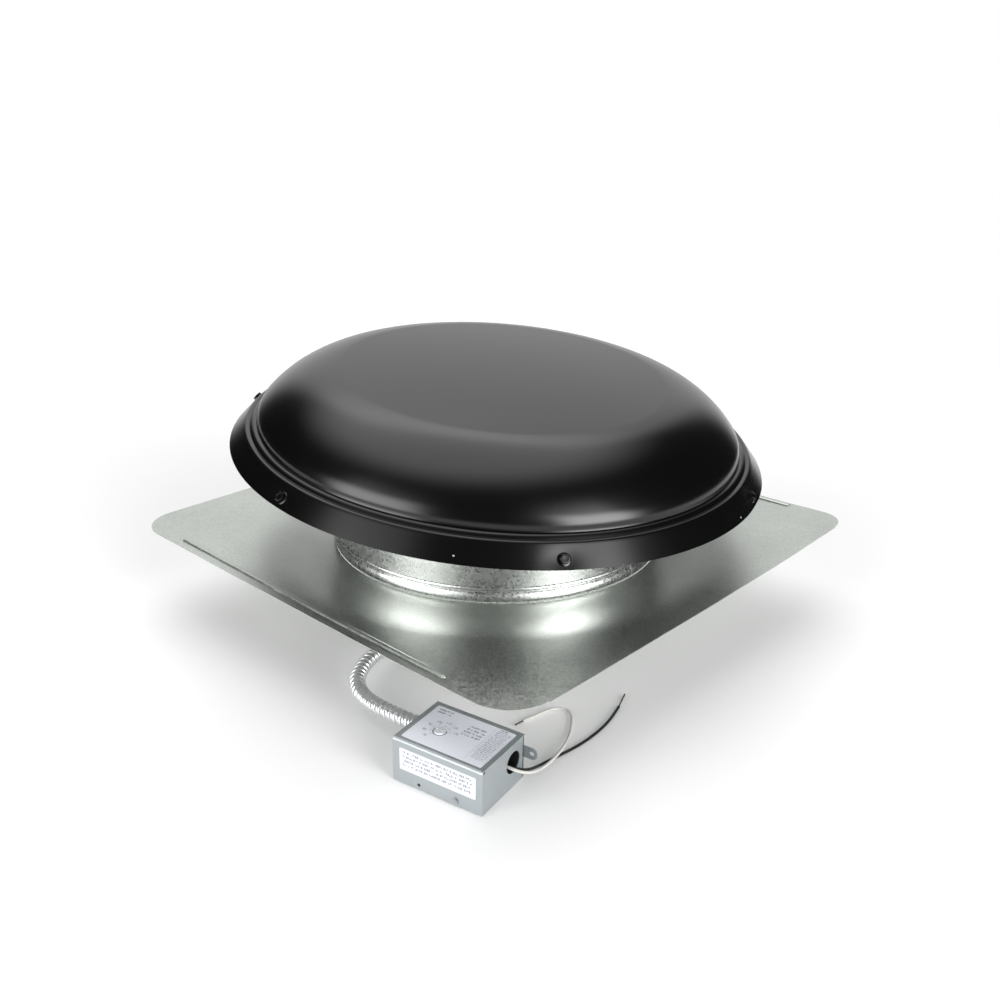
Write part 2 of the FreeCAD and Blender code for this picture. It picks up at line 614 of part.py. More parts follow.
def make_blade(i, spoke):
    """A blade cut from a rolled sheet: its own x runs out along the blade."""
    plan = [("46", "-21"), ("150", "-50", "30"), ("170", "-28"), ("170", "30", "28"), ("148", "51"),
            ("46", "21")]
    shape = extruded(f"blade_plan_{i}", "XY_Plane", plan, "40", symmetric=True)
    drop = Vector(40, 0, -SIZE["blade_curve"] + SIZE["spider_thick"] / 2 + BLADE_LIFT)
    rolled = tube(f"blade_roll_{i}", "Sizes.blade_curve + Sizes.blade_thick", "Sizes.blade_curve", "140",
                  Placement(drop, OUTWARD))
    blade = joined(f"blade_{i}", [shape, rolled], "Part::MultiCommon")
    blade.Placement = spoke
    return blade


# ---------------------------------------------------------------- junction box and thermostat

BOX_FRAME = turned(SIZE["box_turn"], SIZE["box_x"], SIZE["box_y"], SIZE["floor_level"])
FRONT_HOLES = (29.6, 70.4)
FRONT_HOLE_LEVEL = 5.5
COVER_BEND = 3
LABEL_THICK = "0.15"
INTO_BACK = Rotation(Vector(1, 0, 0), -90)


def in_box(x, y, z, rotation=None):
    """A place in the box's own frame."""
    return Placement(Vector(x, y, z), rotation or Rotation())


def place_in_box(piece, label):
    piece.Placement = BOX_FRAME * piece.Placement
    return keep(piece, label)


def front_drills(name):
    """The two screw holes through the front of base and cover."""
    return [cylinder(f"{name}_{i}", "1.7", "8", in_box(x, -3, FRONT_HOLE_LEVEL, INTO_BACK))
            for i, x in enumerate(FRONT_HOLES)]


def make_box():
    """Folded base with two mounting ears, and a cover over its top and front with narrow end flanges."""
    length, width, wall = SIZE["box_length"], SIZE["box_width"], SIZE["box_wall"]
    gap, front, end_front = SIZE["box_gap"], wall + 0.2, SIZE["flange_width"] + 0.3
    inside = "Sizes.box_length - 2 * Sizes.box_gap"
    floor_across = f"Sizes.box_width - {front}"
    end_across = f"Sizes.box_width - {end_front} - Sizes.box_wall - Sizes.corner_slit"
    side_height = "Sizes.box_height - Sizes.box_wall - 0.2"
    lip_inset = wall + 0.3
    right_at = in_box(length - gap - wall, end_front, 0)
    parts = [
        block("box_floor", inside, floor_across, "Sizes.box_wall", in_box(gap, front, 0)),
        block("box_left", "Sizes.box_wall", end_across, side_height, in_box(gap, end_front, 0)),
        block("box_right", "Sizes.box_wall", end_across, side_height, right_at),
        block("box_back", inside, "Sizes.box_wall", side_height, in_box(gap, width - wall, 0)),
        block("box_lip", f"Sizes.box_length - {2 * lip_inset}", "Sizes.box_wall", "Sizes.lip_height",
              in_box(lip_inset, front, 0)),
    ]
    reach, level, radius = SIZE["ear_reach"], SIZE["ear_level"], SIZE["ear_radius"]
    drills = []
    for name, x, start in (("left", -reach, -reach), ("right", length + reach, length - gap)):
        back = width - wall
        parts.append(block(f"ear_{name}", f"{reach + gap}", "Sizes.box_wall", "2 * Sizes.ear_radius",
                           in_box(start, back, level - radius)))
        round_end = in_box(x, back, level, INTO_BACK)
        parts.append(cylinder(f"ear_{name}_end", "Sizes.ear_radius", "Sizes.box_wall", round_end))
        hole_at = in_box(x, width - 6, level, INTO_BACK)
        drills.append(cylinder(f"ear_{name}_hole", "Sizes.ear_hole", "10", hole_at))
    for name, x in (("left", -3), ("right", length - 6)):
        at = in_box(x, SIZE["knockout_across"], SIZE["knockout_level"], OUTWARD)
        drills.append(cylinder(f"knockout_{name}", "Sizes.knockout_radius", "9", at))
    base_drills = joined("box_drills", [*drills, *front_drills("base_front_hole")])
    place_in_box(cut("box_base_cut", joined("box_base_whole", parts), base_drills), "box_base")
    bend = f"Sizes.box_height - {COVER_BEND}"
    walk = [
        ("0", "Sizes.cover_foot"), ("0", bend, f"-{COVER_BEND}"), (f"{COVER_BEND}", "Sizes.box_height"),
        ("Sizes.box_width", "Sizes.box_height"),
    ]
    folded = extruded("cover_fold", "YZ_Plane", sheet_metal(walk, "Sizes.box_wall"), "Sizes.box_length")
    flange_height = f"{bend} - Sizes.flange_foot"
    flanges = [block(f"cover_flange_{i}", "Sizes.box_wall", "Sizes.flange_width", flange_height,
                     in_box(x, 0, SIZE["flange_foot"])) for i, x in enumerate((0, length - wall))]
    dial_at = in_box(SIZE["dial_along"], SIZE["dial_across"], SIZE["box_height"] - 5)
    dial_hole = cylinder("dial_hole", "Sizes.dial_radius + Sizes.dial_clearance", "10", dial_at)
    cover_drills = joined("cover_drills", [dial_hole, *front_drills("cover_front_hole")])
    place_in_box(cut("cover_cut", joined("cover_whole", [folded, *flanges]), cover_drills), "box_cover")
    screw_in = Rotation(Vector(1, 0, 0), 90)
    screw_x = FRONT_HOLES[1]
    head = cylinder("cover_screw_head", "2.9", "1.6", in_box(screw_x, -0.05, FRONT_HOLE_LEVEL, screw_in))
    stem = cylinder("cover_screw_stem", "1.65", "8", in_box(screw_x, -0.05, FRONT_HOLE_LEVEL, INTO_BACK))
    place_in_box(joined("cover_screw_whole", [head, stem]), "cover_screw")
    place_in_box(hex_screw("earth", in_box(74, 22, wall), 8, "1.2", "1.6"), "ground_screw")


def make_labels():
    """A plain label on the top round the dial, and one on the front."""
    top = block("top_label_sheet", "Sizes.box_length - 10", "Sizes.box_width - 10", LABEL_THICK,
                in_box(5, 5, SIZE["box_height"]))
    hole_at = in_box(SIZE["dial_along"], SIZE["dial_across"], SIZE["box_height"] - 1)
    hole = cylinder("label_hole", "Sizes.dial_radius + Sizes.dial_clearance", "3", hole_at)
    place_in_box(cut("top_label_cut", top, hole), "top_label")
    front_at = in_box(7, -float(LABEL_THICK), 17)
    front = block("front_label_sheet", "Sizes.box_length - 14", LABEL_THICK, "22", front_at)
    place_in_box(front, "front_label")


def make_thermostat():
    """Adjustable switch under the cover: body, two terminals and a slotted dial on a stem."""
    x, y, top = SIZE["dial_along"], SIZE["dial_across"], SIZE["box_height"]
    body = block("switch_body", "34", "38", "24", in_box(x - 17, y - 13, top - 27.1))
    stem_hole = cylinder("stem_hole", "2.6", "12", in_box(x, y, top - 13))
    place_in_box(cut("switch_cut", body, stem_hole), "thermostat_body")
    blocks = [block(f"terminal_{i}", "8", "6", "6", in_box(x + 17, across - 3, level - 3))
              for i, (across, level) in enumerate(((46, 27), (52.8, 23)))]
    place_in_box(grouped("terminals", blocks), "thermostat_terminals")
    knob = cylinder("dial_knob", "Sizes.dial_radius", "4.4", in_box(x, y, top - 2.8))
    stem = cylinder("dial_stem", "2.55", "8", in_box(x, y, top - 10.5))
    slot = block("dial_slot", "12", "1.6", "1.4", in_box(x - 6, y - 0.8, top + 0.4))
    place_in_box(cut("dial_cut", joined("dial_whole", [knob, stem]), slot), "thermostat_dial")


def conduit_fitting(name, frame, neck, length, locknut_at, locknut_radius):
    """Conduit connector with its mouth at the frame's z = 0 and its neck running back, and its locknut."""
    collar = cylinder(name + "_collar", "Sizes.fitting_radius", f"{length}", frame * raised(-length))
    thread = cylinder(name + "_thread", f"{neck}", f"{length + 6}", frame * raised(-length - 6))
    bore = cylinder(name + "_bore", "Sizes.conduit_bore", f"{length + 6}", frame * raised(-length - 6))
    keep(cut(name + "_cut", joined(name + "_whole", [collar, thread]), bore), name)
    at = frame * raised(locknut_at)
    flats = prism(name + "_flats", f"{locknut_radius}", "2.6", at)
    nut = cut(name + "_nut", flats, cylinder(name + "_nut_bore", f"{neck}", "2.6", at))
    keep(nut, name.replace("connector", "locknut"))


def make_fittings():
    box_mouth = BOX_FRAME * in_box(-7, SIZE["knockout_across"], SIZE["knockout_level"], Rotation(Y_AXIS, -90))
    conduit_fitting("box_connector", box_mouth, 8.6, 7.4, -11.6, 13.5)
    conduit_fitting("motor_connector", outlet_frame(SIZE["outlet_reach"]), 7.2,
                    SIZE["outlet_reach"] - SIZE["motor_radius"] - 0.2, -25.6, 8.9)


# ---------------------------------------------------------------- conduit and leads

CONDUIT_ROUTE = [
    (163.36, -280.48, -77), (143.68, -284.04, -77), (122, -284.4, -79), (99.5, -283.8, -81),
    (79, -280.5, -82), (61.5, -273, -82.5), (47, -262, -82.5), (35.5, -247.5, -82.5), (27.5, -230, -82),
    (21.8, -208, -81.5), (16.6, -176, -81), (12.7, -134, -80.5), (9.42, -96, -80), (6.05, -61.7, -80),
]
WHITE_ROUTE = [
    (227.6, -274.95, -77), (238, -273.3, -77.4), (248.5, -271.2, -78), (258.5, -269.4, -78.6),
    (266.7, -267.7, -79.6), (272.7, -264, -82), (276, -257, -86), (277, -247, -91), (275.8, -233, -95.4),
    (274, -215, -96.6), (269, -194, -96.8), (262.5, -179, -98.6), (254, -163, -102.2),
    (243.5, -147, -102.3), (233, -134, -102.3), (221.5, -129.5, -102.3), (213, -136, -102.3),
    (209, -148, -102.3), (207, -162, -102.3), (204, -177, -102.3),
]
BLACK_ROUTE = [
    (226.4, -268.3, -81), (236.8, -266.8, -81), (247.2, -265.3, -81.2), (257.5, -264.5, -81.8),
    (266, -262.3, -83), (270.3, -256.4, -86), (271.2, -247.5, -90.6), (269.3, -237, -95.6),
    (267, -225, -100), (266.5, -211, -102.3), (268.3, -196, -102.3), (270.8, -178, -102.3),
    (271.6, -159, -102.3), (270.6, -140, -102.3), (268, -122, -102.3), (263.8, -105, -102.3),
    (258, -88, -102.3),
]
WHITE_TIP = Vector(203, -188, -102.3)
BLACK_TIP = Vector(248, -64, -102.3)


def rounded_path(route):
    """Straight runs joined by arcs as large as the two runs allow. Returns the wire and its arc radii."""
    points = [Vector(*p) for p in route]
    edges, radii, last = [], [], points[0]
    for before, corner, after in zip(points, points[1:], points[2:]):
        back, on = before - corner, after - corner
        half_turn = (math.pi - back.getAngle(on)) / 2
        trim = 0.45 * min(back.Length, on.Length)
        radius = trim / math.tan(half_turn)
        back, on = back.normalize(), on.normalize()
        start, end = corner + back * trim, corner + on * trim
        centre = corner + (back + on).normalize() * (radius / math.cos(half_turn))
        middle = centre + (corner - centre).normalize() * radius
        edges += [Part.LineSegment(last, start).toShape(), Part.Arc(start, middle, end).toShape()]
        radii.append(radius)
        last = end
    edges.append(Part.LineSegment(last, points[-1]).toShape())
    return Part.Wire(edges), radii


def make_cord(label, route, radius):
    """A round cord swept along its route."""
    path, radii = rounded_path(route)
    start = Vector(*route[0])
    circle = Part.Circle(start, Vector(*route[1]) - start, radius)
    solid = path.makePipeShell([Part.Wire(circle.toShape())], True, True)
    area = math.pi * radius ** 2
    print(f"{label}: length {path.Length:.1f}, volume over section times length "
          f"{solid.Volume / (area * path.Length):.4f}, radii {[round(r, 1) for r in radii]}")
    piece = doc.addObject("Part::Feature", label + "_cord")
    piece.Shape = solid
    keep(piece, label)


def make_strands(label, route, tip):
    """The bare end of a lead, straight on from its insulation."""
    start = Vector(*route[-1])
    way = tip - start
    keep(cylinder(label + "_strands", "Sizes.strand_radius", f"{way.Length:.3f}",
                  Placement(start, Rotation(Z_AXIS, way))), label)


make_dome()
make_brackets()
make_screen()
make_flashing()
make_throat()
make_motor_case()
make_motor_inside()
make_motor_mount()
make_fan()
make_box()
make_labels()
make_thermostat()
make_fittings()
make_cord("conduit", CONDUIT_ROUTE, SIZE["conduit_radius"])
make_cord("white_lead", WHITE_ROUTE, SIZE["lead_radius"])
make_cord("black_lead", BLACK_ROUTE, SIZE["lead_radius"])
make_strands("white_lead_strands", WHITE_ROUTE, WHITE_TIP)
make_strands("black_lead_strands", BLACK_ROUTE, BLACK_TIP)

doc.recompute()
failed = [item.Name for item in doc.Objects if {"Invalid", "Error"} & set(item.State)]
failed += [piece.Label for piece in pieces if piece.Shape.isNull() or not piece.Shape.isValid()]
if failed:
    sys.exit("failed: " + ", ".join(failed))
os.makedirs("parts", exist_ok=True)
for piece in pieces:
    piece.Shape.exportStep(os.path.join("parts", piece.Label + ".step"))
    print(f"{piece.Label}: {len(piece.Shape.Solids)} solids, {piece.Shape.Volume / 1000:.2f} cm3")
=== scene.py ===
import json
import math
import random

import bpy
import bmesh
from mathutils import Matrix, Vector, noise


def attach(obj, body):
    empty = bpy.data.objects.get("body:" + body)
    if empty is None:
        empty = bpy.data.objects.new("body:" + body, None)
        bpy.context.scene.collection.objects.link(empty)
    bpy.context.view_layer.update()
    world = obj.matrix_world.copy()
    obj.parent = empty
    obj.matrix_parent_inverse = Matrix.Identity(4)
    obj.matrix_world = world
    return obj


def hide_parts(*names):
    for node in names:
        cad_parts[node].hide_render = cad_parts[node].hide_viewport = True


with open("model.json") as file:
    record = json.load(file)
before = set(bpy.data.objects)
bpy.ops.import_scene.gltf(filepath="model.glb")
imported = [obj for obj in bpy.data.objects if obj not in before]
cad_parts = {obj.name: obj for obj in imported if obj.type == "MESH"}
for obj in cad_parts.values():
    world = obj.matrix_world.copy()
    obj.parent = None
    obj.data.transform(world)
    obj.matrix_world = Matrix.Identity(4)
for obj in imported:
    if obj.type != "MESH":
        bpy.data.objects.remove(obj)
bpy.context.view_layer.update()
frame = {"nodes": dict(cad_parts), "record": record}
nodes = frame["nodes"]
MM = 0.001
TAU = 2 * math.pi
HOUSING = "housing"
FLOOR = -0.104
# thickness of the sheet metal, in millimetres
SHEET = 0.8


def mm(x, y, z):
    return Vector((x * MM, y * MM, z * MM))


# ---------------------------------------------------------------- camera

AZIMUTH, ELEVATION, ROLL = math.radians(42.664), math.radians(22.102), math.radians(0.906)
DISTANCE, RIGHT_SHIFT, UP_SHIFT = 1.2968, 0.0037, 0.0280
LENS = 38.54


def make_camera():
    level_out = math.cos(ELEVATION)
    back = Vector((math.sin(AZIMUTH) * level_out, -math.cos(AZIMUTH) * level_out, math.sin(ELEVATION)))
    level = Vector((math.cos(AZIMUTH), math.sin(AZIMUTH), 0))
    steep = back.cross(level)
    right = level * math.cos(ROLL) + steep * math.sin(ROLL)
    up = steep * math.cos(ROLL) - level * math.sin(ROLL)
    place = back * DISTANCE + right * RIGHT_SHIFT + up * UP_SHIFT
    data = bpy.data.cameras.new("camera")
    data.lens = LENS
    data.sensor_width = 36
    data.clip_end = 60
    camera = bpy.data.objects.new("camera", data)
    camera.matrix_world = Matrix.Translation(place) @ Matrix((right, up, back)).transposed().to_4x4()
    bpy.context.scene.collection.objects.link(camera)
    bpy.context.scene.camera = camera


# ---------------------------------------------------------------- node materials

class Nodes:
    """Short ways to add nodes to a tree."""

    def __init__(self, tree):
        self.tree = tree

    def node(self, kind, **settings):
        made = self.tree.nodes.new(kind)
        for key, value in settings.items():
            setattr(made, key, value)
        return made

    def link(self, start, end):
        self.tree.links.new(start, end)

    def math(self, operation, *values):
        made = self.node("ShaderNodeMath", operation=operation)
        for socket, value in zip(made.inputs, values):
            if isinstance(value, (int, float)):
                socket.default_value = value
            else:
                self.link(value, socket)
        return made.outputs[0]

    def span(self, value, low, high, start=0.0, end=1.0, kind="LINEAR"):
        made = self.node("ShaderNodeMapRange", interpolation_type=kind)
        self.link(value, made.inputs["Value"])
        for socket, number in (("From Min", start), ("From Max", end), ("To Min", low), ("To Max", high)):
            made.inputs[socket].default_value = number
        return made.outputs["Result"]


class Shader(Nodes):
    """One Principled material built from a few node chains in object space."""

    def __init__(self, name, colour, roughness, metallic=0.0, **sockets):
        self.material = bpy.data.materials.new(name)
        self.material.use_nodes = True
        super().__init__(self.material.node_tree)
        self.bsdf = self.tree.nodes["Principled BSDF"]
        self.bsdf.inputs["Base Color"].default_value = (*colour, 1)
        self.bsdf.inputs["Roughness"].default_value = roughness
        self.bsdf.inputs["Metallic"].default_value = metallic
        for socket, value in sockets.items():
            self.bsdf.inputs[socket].default_value = value
        self.place = self.node("ShaderNodeTexCoord").outputs["Object"]
        self.bump_end = None

    def stretched(self, scale):
        mapping = self.node("ShaderNodeMapping")
        mapping.inputs["Scale"].default_value = scale
        self.link(self.place, mapping.inputs["Vector"])
        return mapping.outputs["Vector"]

    def noise(self, scale, detail=3.0, rough=0.55, stretch=None):
        made = self.node("ShaderNodeTexNoise")
        made.inputs["Scale"].default_value = scale
        made.inputs["Detail"].default_value = detail
        made.inputs["Roughness"].default_value = rough
        self.link(self.stretched(stretch) if stretch else self.place, made.inputs["Vector"])
        return made.outputs["Fac"]

    def cells(self, scale, output="Color", stretch=None):
        made = self.node("ShaderNodeTexVoronoi")
        made.inputs["Scale"].default_value = scale
        self.link(self.stretched(stretch) if stretch else self.place, made.inputs["Vector"])
        return made.outputs[output]

    def mix(self, fac, first, second):
        made = self.node("ShaderNodeMix", data_type="RGBA")
        self.link(fac, made.inputs[0])
        for socket, colour in ((made.inputs[6], first), (made.inputs[7], second)):
            if isinstance(colour, tuple):
                socket.default_value = (*colour, 1)
            else:
                self.link(colour, socket)
        return made.outputs[2]

    def colour(self, value):
        self.link(value, self.bsdf.inputs["Base Color"])

    def roughness(self, value):
        self.link(value, self.bsdf.inputs["Roughness"])

    def bump(self, value, strength, distance):
        made = self.node("ShaderNodeBump")
        made.inputs["Strength"].default_value = strength
        made.inputs["Distance"].default_value = distance
        self.link(value, made.inputs["Height"])
        if self.bump_end:
            self.link(self.bump_end, made.inputs["Normal"])
        self.bump_end = made.outputs["Normal"]
        self.link(self.bump_end, self.bsdf.inputs["Normal"])


CHIPPED_RADIUS = 0.297


def black_paint():
    """Satin black powder coat: orange peel, faint haze, and small chips on the skirt only."""
    bare, paint = (0.45, 0.46, 0.45), (0.002, 0.002, 0.002)
    s = Shader("black_paint", paint, 0.2)
    haze = s.noise(7, 4)
    s.roughness(s.span(haze, 0.19, 0.24, 0.3, 0.7))
    chip = s.span(s.cells(60, "Distance"), 1, 0, 0.05, 0.07)
    chosen = s.span(s.noise(23, 0), 0, 1, 0.64, 0.65)
    split = s.node("ShaderNodeSeparateXYZ")
    s.link(s.place, split.inputs[0])
    x, y = (s.math("MULTIPLY", split.outputs[i], split.outputs[i]) for i in (0, 1))
    skirt = s.math("GREATER_THAN", s.math("SQRT", s.math("ADD", x, y)), CHIPPED_RADIUS)
    s.colour(s.mix(s.math("MULTIPLY", s.math("MULTIPLY", chip, chosen), skirt), paint, bare))
    s.bump(s.noise(1100, 2), 0.05, 0.0001)
    s.bump(haze, 0.10, 0.0008)
    return s.material


def zinc(name, tone, roughness, spangle=520, contrast=0.16, metallic=1.0, dimpled=0.16, pitting=700):
    """Galvanised sheet: angular spangles in tone and gloss over a soft cloudiness."""
    s = Shader(name, tone, roughness, metallic)
    split = s.node("ShaderNodeSeparateColor")
    s.link(s.cells(spangle), split.inputs[0])
    flake = split.outputs[0]
    dark = tuple(c * (1 - contrast) for c in tone)
    light = tuple(min(1, c * (1 + contrast * 0.7)) for c in tone)
    cloud = s.noise(14, 4)
    grain = s.node("ShaderNodeMix", data_type="FLOAT")
    grain.inputs[0].default_value = 0.45
    s.link(flake, grain.inputs[2])
    s.link(cloud, grain.inputs[3])
    s.colour(s.mix(grain.outputs[0], dark, light))
    s.roughness(s.span(flake, roughness - 0.05, roughness + 0.09))
    if dimpled:
        s.bump(s.noise(pitting, 3), dimpled, 0.0002)
        s.bump(cloud, dimpled / 2, 0.0012)
    return s.material


def metal(name, tone, roughness, stretch=(1, 1, 1), scale=600, bump=0.12):
    """Plain metal with fine tool marks along one direction."""
    s = Shader(name, tone, roughness, 1.0)
    marks = s.noise(scale, 3, 0.6, stretch)
    s.colour(s.mix(marks, tuple(c * 0.82 for c in tone), tuple(min(1, c * 1.12) for c in tone)))
    s.roughness(s.span(marks, roughness - 0.05, roughness + 0.08, 0.3, 0.7))
    s.bump(marks, bump, 0.0001)
    return s.material


def plastic(name, tone, roughness, grain=900, bump=0.05, spread=0.12):
    s = Shader(name, tone, roughness)
    mottle = s.noise(grain, 3)
    dark, light = tuple(c * (1 - spread) for c in tone), tuple(min(1, c * (1 + spread)) for c in tone)
    s.colour(s.mix(mottle, dark, light))
    s.roughness(s.span(mottle, roughness - 0.04, roughness + 0.06, 0.3, 0.7))
    s.bump(mottle, bump, 0.0001)
    return s.material


MATERIALS = {
    "black_paint": black_paint(),
    "galvanised_steel": zinc("galvanised", (0.50, 0.525, 0.495), 0.35, contrast=0.22, dimpled=0.2,
                             pitting=330),
    # Throat ring zinc: a lighter copy of the galvanised sheet. Its high tone is painted brightness that
    # stands in for the light the collar reflects.
    "lit_band_zinc": zinc("galvanised_band_lit", (0.92, 0.94, 0.92), 0.3, contrast=0.08, dimpled=0),
    "box_zinc": zinc("zinc_plate", (0.44, 0.475, 0.49), 0.42, spangle=900, contrast=0.05, metallic=0.75),
    "aluminium": metal("aluminium", (0.72, 0.73, 0.74), 0.32, (1, 8, 8)),
    "conduit_steel": metal("conduit_steel", (0.84, 0.85, 0.86), 0.34, bump=0.03),
    "motor_paint": plastic("motor_paint", (0.035, 0.036, 0.038), 0.42, 800, 0.1),
    "bronze": metal("bronze", (0.5, 0.34, 0.18), 0.4),
    "steel": metal("steel", (0.46, 0.47, 0.49), 0.28, (8, 8, 1)),
    "cast_zinc": metal("cast_zinc", (0.55, 0.56, 0.58), 0.38, scale=250, bump=0.2),
    "winding_copper": metal("winding_copper", (0.5, 0.2, 0.09), 0.35, (1, 1, 12)),
    "label": plastic("label", (0.86, 0.87, 0.95), 0.5, 400, 0.03, 0.03),
    "print": plastic("print", (0.30, 0.31, 0.36), 0.6, 700, 0.02),
    "ink": plastic("ink", (0.02, 0.02, 0.02), 0.5, 700, 0.02),
    "brown_phenolic": plastic("brown_phenolic", (0.05, 0.022, 0.012), 0.3),
    "terminal_brass": metal("terminal_brass", (0.7, 0.52, 0.22), 0.3),
    "dial_plastic": plastic("dial_plastic", (0.74, 0.75, 0.78), 0.4),
    "white_insulation": plastic("white_insulation", (0.70, 0.69, 0.66), 0.35, 300, 0.04),
    "black_insulation": plastic("black_insulation", (0.012, 0.012, 0.012), 0.33, 300, 0.04),
    "bare_copper": metal("bare_copper", (0.16, 0.12, 0.10), 0.42),
}
NODE_MATERIALS = {
    # The throat ring and its splice take the lighter zinc copy, whose tone is painted brightness.
    "throat_ring": "lit_band_zinc", "throat_splice": "lit_band_zinc", "box_base": "box_zinc", "box_cover": "box_zinc",
    "cover_screw": "steel", "motor_bolts": "steel", "motor_nuts": "steel", "ground_screw": "steel",
}


def paint_nodes():
    slots = {row["node"]: row["material_slot"] for row in frame["record"]["subparts"]}
    for name, obj in nodes.items():
        material = MATERIALS[NODE_MATERIALS.get(name, slots[name])]
        obj.data.materials.clear()
        obj.data.materials.append(material)


# ---------------------------------------------------------------- mesh helpers

def piece(name, verts, faces, material, body=HOUSING, smooth=True, replaces=(), slot=None):
    mesh = bpy.data.meshes.new(name)
    mesh.from_pydata([tuple(v) for v in verts], [], faces)
    mesh.update()
    obj = bpy.data.objects.new(name, mesh)
    bpy.context.scene.collection.objects.link(obj)
    if smooth:
        mesh.polygons.foreach_set("use_smooth", [True] * len(mesh.polygons))
    mesh.materials.append(MATERIALS[material])
    if replaces:
        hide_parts(*replaces)
    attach(obj, body)
    return obj


def grid_faces(rows, columns, wrap_rows=False, wrap_columns=True, start=0):
    """Quads over a grid of rows by columns vertices."""
    faces = []
    for i in range(rows if wrap_rows else rows - 1):
        for j in range(columns if wrap_columns else columns - 1):
            a, b = i * columns + j, i * columns + (j + 1) % columns
            c, d = (i + 1) % rows * columns + (j + 1) % columns, (i + 1) % rows * columns + j
            faces.append(tuple(start + k for k in (a, b, c, d)))
    return faces


def walk_outline(walk, step=1.5):
    """Points along a walk of (x, y) or (x, y, radius) corners, with a normal to the left of each."""
    points = []
    for first, second in zip(walk, walk[1:]):
        a, b = Vector(first[:2]), Vector(second[:2])
        chord = b - a
        count = max(1, round(chord.length / step))
        if len(first) == 2:
            points += [(a.lerp(b, i / count)) for i in range(count)]
            continue
        radius = first[2]
        side = Vector((-chord.y, chord.x)).normalized() * math.copysign(1, radius)
        centre = (a + b) / 2 + side * math.sqrt(max(radius ** 2 - chord.length_squared / 4, 0))
        sweep = 2 * math.asin(min(1, chord.length / 2 / abs(radius))) * math.copysign(1, radius)
        arm = a - centre
        for i in range(count):
            turn = sweep * i / count
            points.append(centre + Vector((arm.x * math.cos(turn) - arm.y * math.sin(turn),
                                           arm.x * math.sin(turn) + arm.y * math.cos(turn))))
    points.append(Vector(walk[-1][:2]))
    return points


def sampled(points, order=3):
    """A NURBS line through space on these control points, as a fine list of points."""
    curve = nurbs("sampling", points, order)
    obj = bpy.data.objects.new("sampling", curve)
    curve.resolution_u = 24
    mesh = bpy.data.meshes.new_from_object(obj)
    line = [v.co.copy() for v in mesh.vertices]
    bpy.data.objects.remove(obj)
    bpy.data.meshes.remove(mesh)
    return line


def nurbs(name, points, order=3):
    curve = bpy.data.curves.new(name, "CURVE")
    curve.dimensions = "3D"
    spline = curve.splines.new("NURBS")
    spline.points.add(len(points) - 1)
    for target, point in zip(spline.points, points):
        target.co = (*point, 1)
    spline.order_u = order
    spline.use_endpoint_u = True
    curve.resolution_u = 16
    return curve


def evenly(line, step):
    """The same line with points a step apart, and how far along each is."""
    total = sum((b - a).length for a, b in zip(line, line[1:]))
    count = max(2, round(total / step))
    spacing = total / count
    points, along, reached, travelled = [line[0]], [0.0], 0, 0.0
    for i in range(1, count):
        goal = i * spacing
        while travelled + (line[reached + 1] - line[reached]).length < goal:
            travelled += (line[reached + 1] - line[reached]).length
            reached += 1
        part = (goal - travelled) / (line[reached + 1] - line[reached]).length
        points.append(line[reached].lerp(line[reached + 1], part))
        along.append(goal)
    return [*points, line[-1]], [*along, total]


def frames_along(line):
    """Side and up vectors that don't twist along the line."""
    result, side = [], None
    for i, point in enumerate(line):
        way = (line[min(i + 1, len(line) - 1)] - line[max(i - 1, 0)]).normalized()
        if side is None:
            side = way.cross(Vector((0, 0, 1)) if abs(way.z) < 0.9 else Vector((1, 0, 0))).normalized()
        side = (side - way * side.dot(way)).normalized()
        result.append((side, way.cross(side)))
    return result


def tube(line, radius_at, around=16, start=0):
    """Closed tube: vertices and faces along a line, with a radius from (index, turn)."""
    verts, faces = [], []
    for i, (point, (side, up)) in enumerate(zip(line, frames_along(line))):
        for j in range(around):
            turn = TAU * j / around
            verts.append(point + (side * math.cos(turn) + up * math.sin(turn)) * radius_at(i, turn))
    faces += grid_faces(len(line), around, start=start)
    faces.append(tuple(start + j for j in range(around))[::-1])
    last = start + (len(line) - 1) * around
    faces.append(tuple(last + j for j in range(around)))
    return verts, faces


def face_outward(obj, merge=0.0):
    """Turn every face outward, after joining points closer than merge."""
    clean = bmesh.new()
    clean.from_mesh(obj.data)
    if merge:
        bmesh.ops.remove_doubles(clean, verts=clean.verts, dist=merge)
    bmesh.ops.recalc_face_normals(clean, faces=clean.faces)
    clean.to_mesh(obj.data)
    clean.free()


def sharpen(obj, angle=40):
    """Smooth shading that keeps edges sharper than the angle."""
    obj.data.set_sharp_from_angle(angle=math.radians(angle))


def gather(parts):
    """Several (verts, faces) in one."""
    verts, faces = [], []
    for more_verts, more_faces in parts:
        offset = len(verts)
        verts += more_verts
        faces += [tuple(offset + k for k in face) for face in more_faces]
    return verts, faces


# ---------------------------------------------------------------- cords

CONDUIT_ROUTE = [
    (163.36, -280.48, -77), (143.68, -284.04, -77), (122, -284.4, -79), (99.5, -283.8, -81),
    (79, -280.5, -82), (61.5, -273, -82.5), (47, -262, -82.5), (35.5, -247.5, -82.5), (27.5, -230, -82),
    (21.8, -208, -81.5), (16.6, -176, -81), (12.7, -134, -80.5), (9.42, -96, -80), (6.05, -61.7, -80),
]
WHITE_ROUTE = [
    (227.6, -274.95, -77), (238, -273.3, -77.4), (248.5, -271.2, -78), (258.5, -269.4, -78.6),
    (266.7, -267.7, -79.6), (272.7, -264, -82), (276, -257, -86), (277, -247, -91), (275.8, -233, -95.4),
    (274, -215, -96.6), (269, -194, -96.8), (262.5, -179, -98.6), (254, -163, -102.2),
    (243.5, -147, -102.3), (233, -134, -102.3), (221.5, -129.5, -102.3), (213, -136, -102.3),
    (209, -148, -102.3), (207, -162, -102.3), (204, -177, -102.3),
]
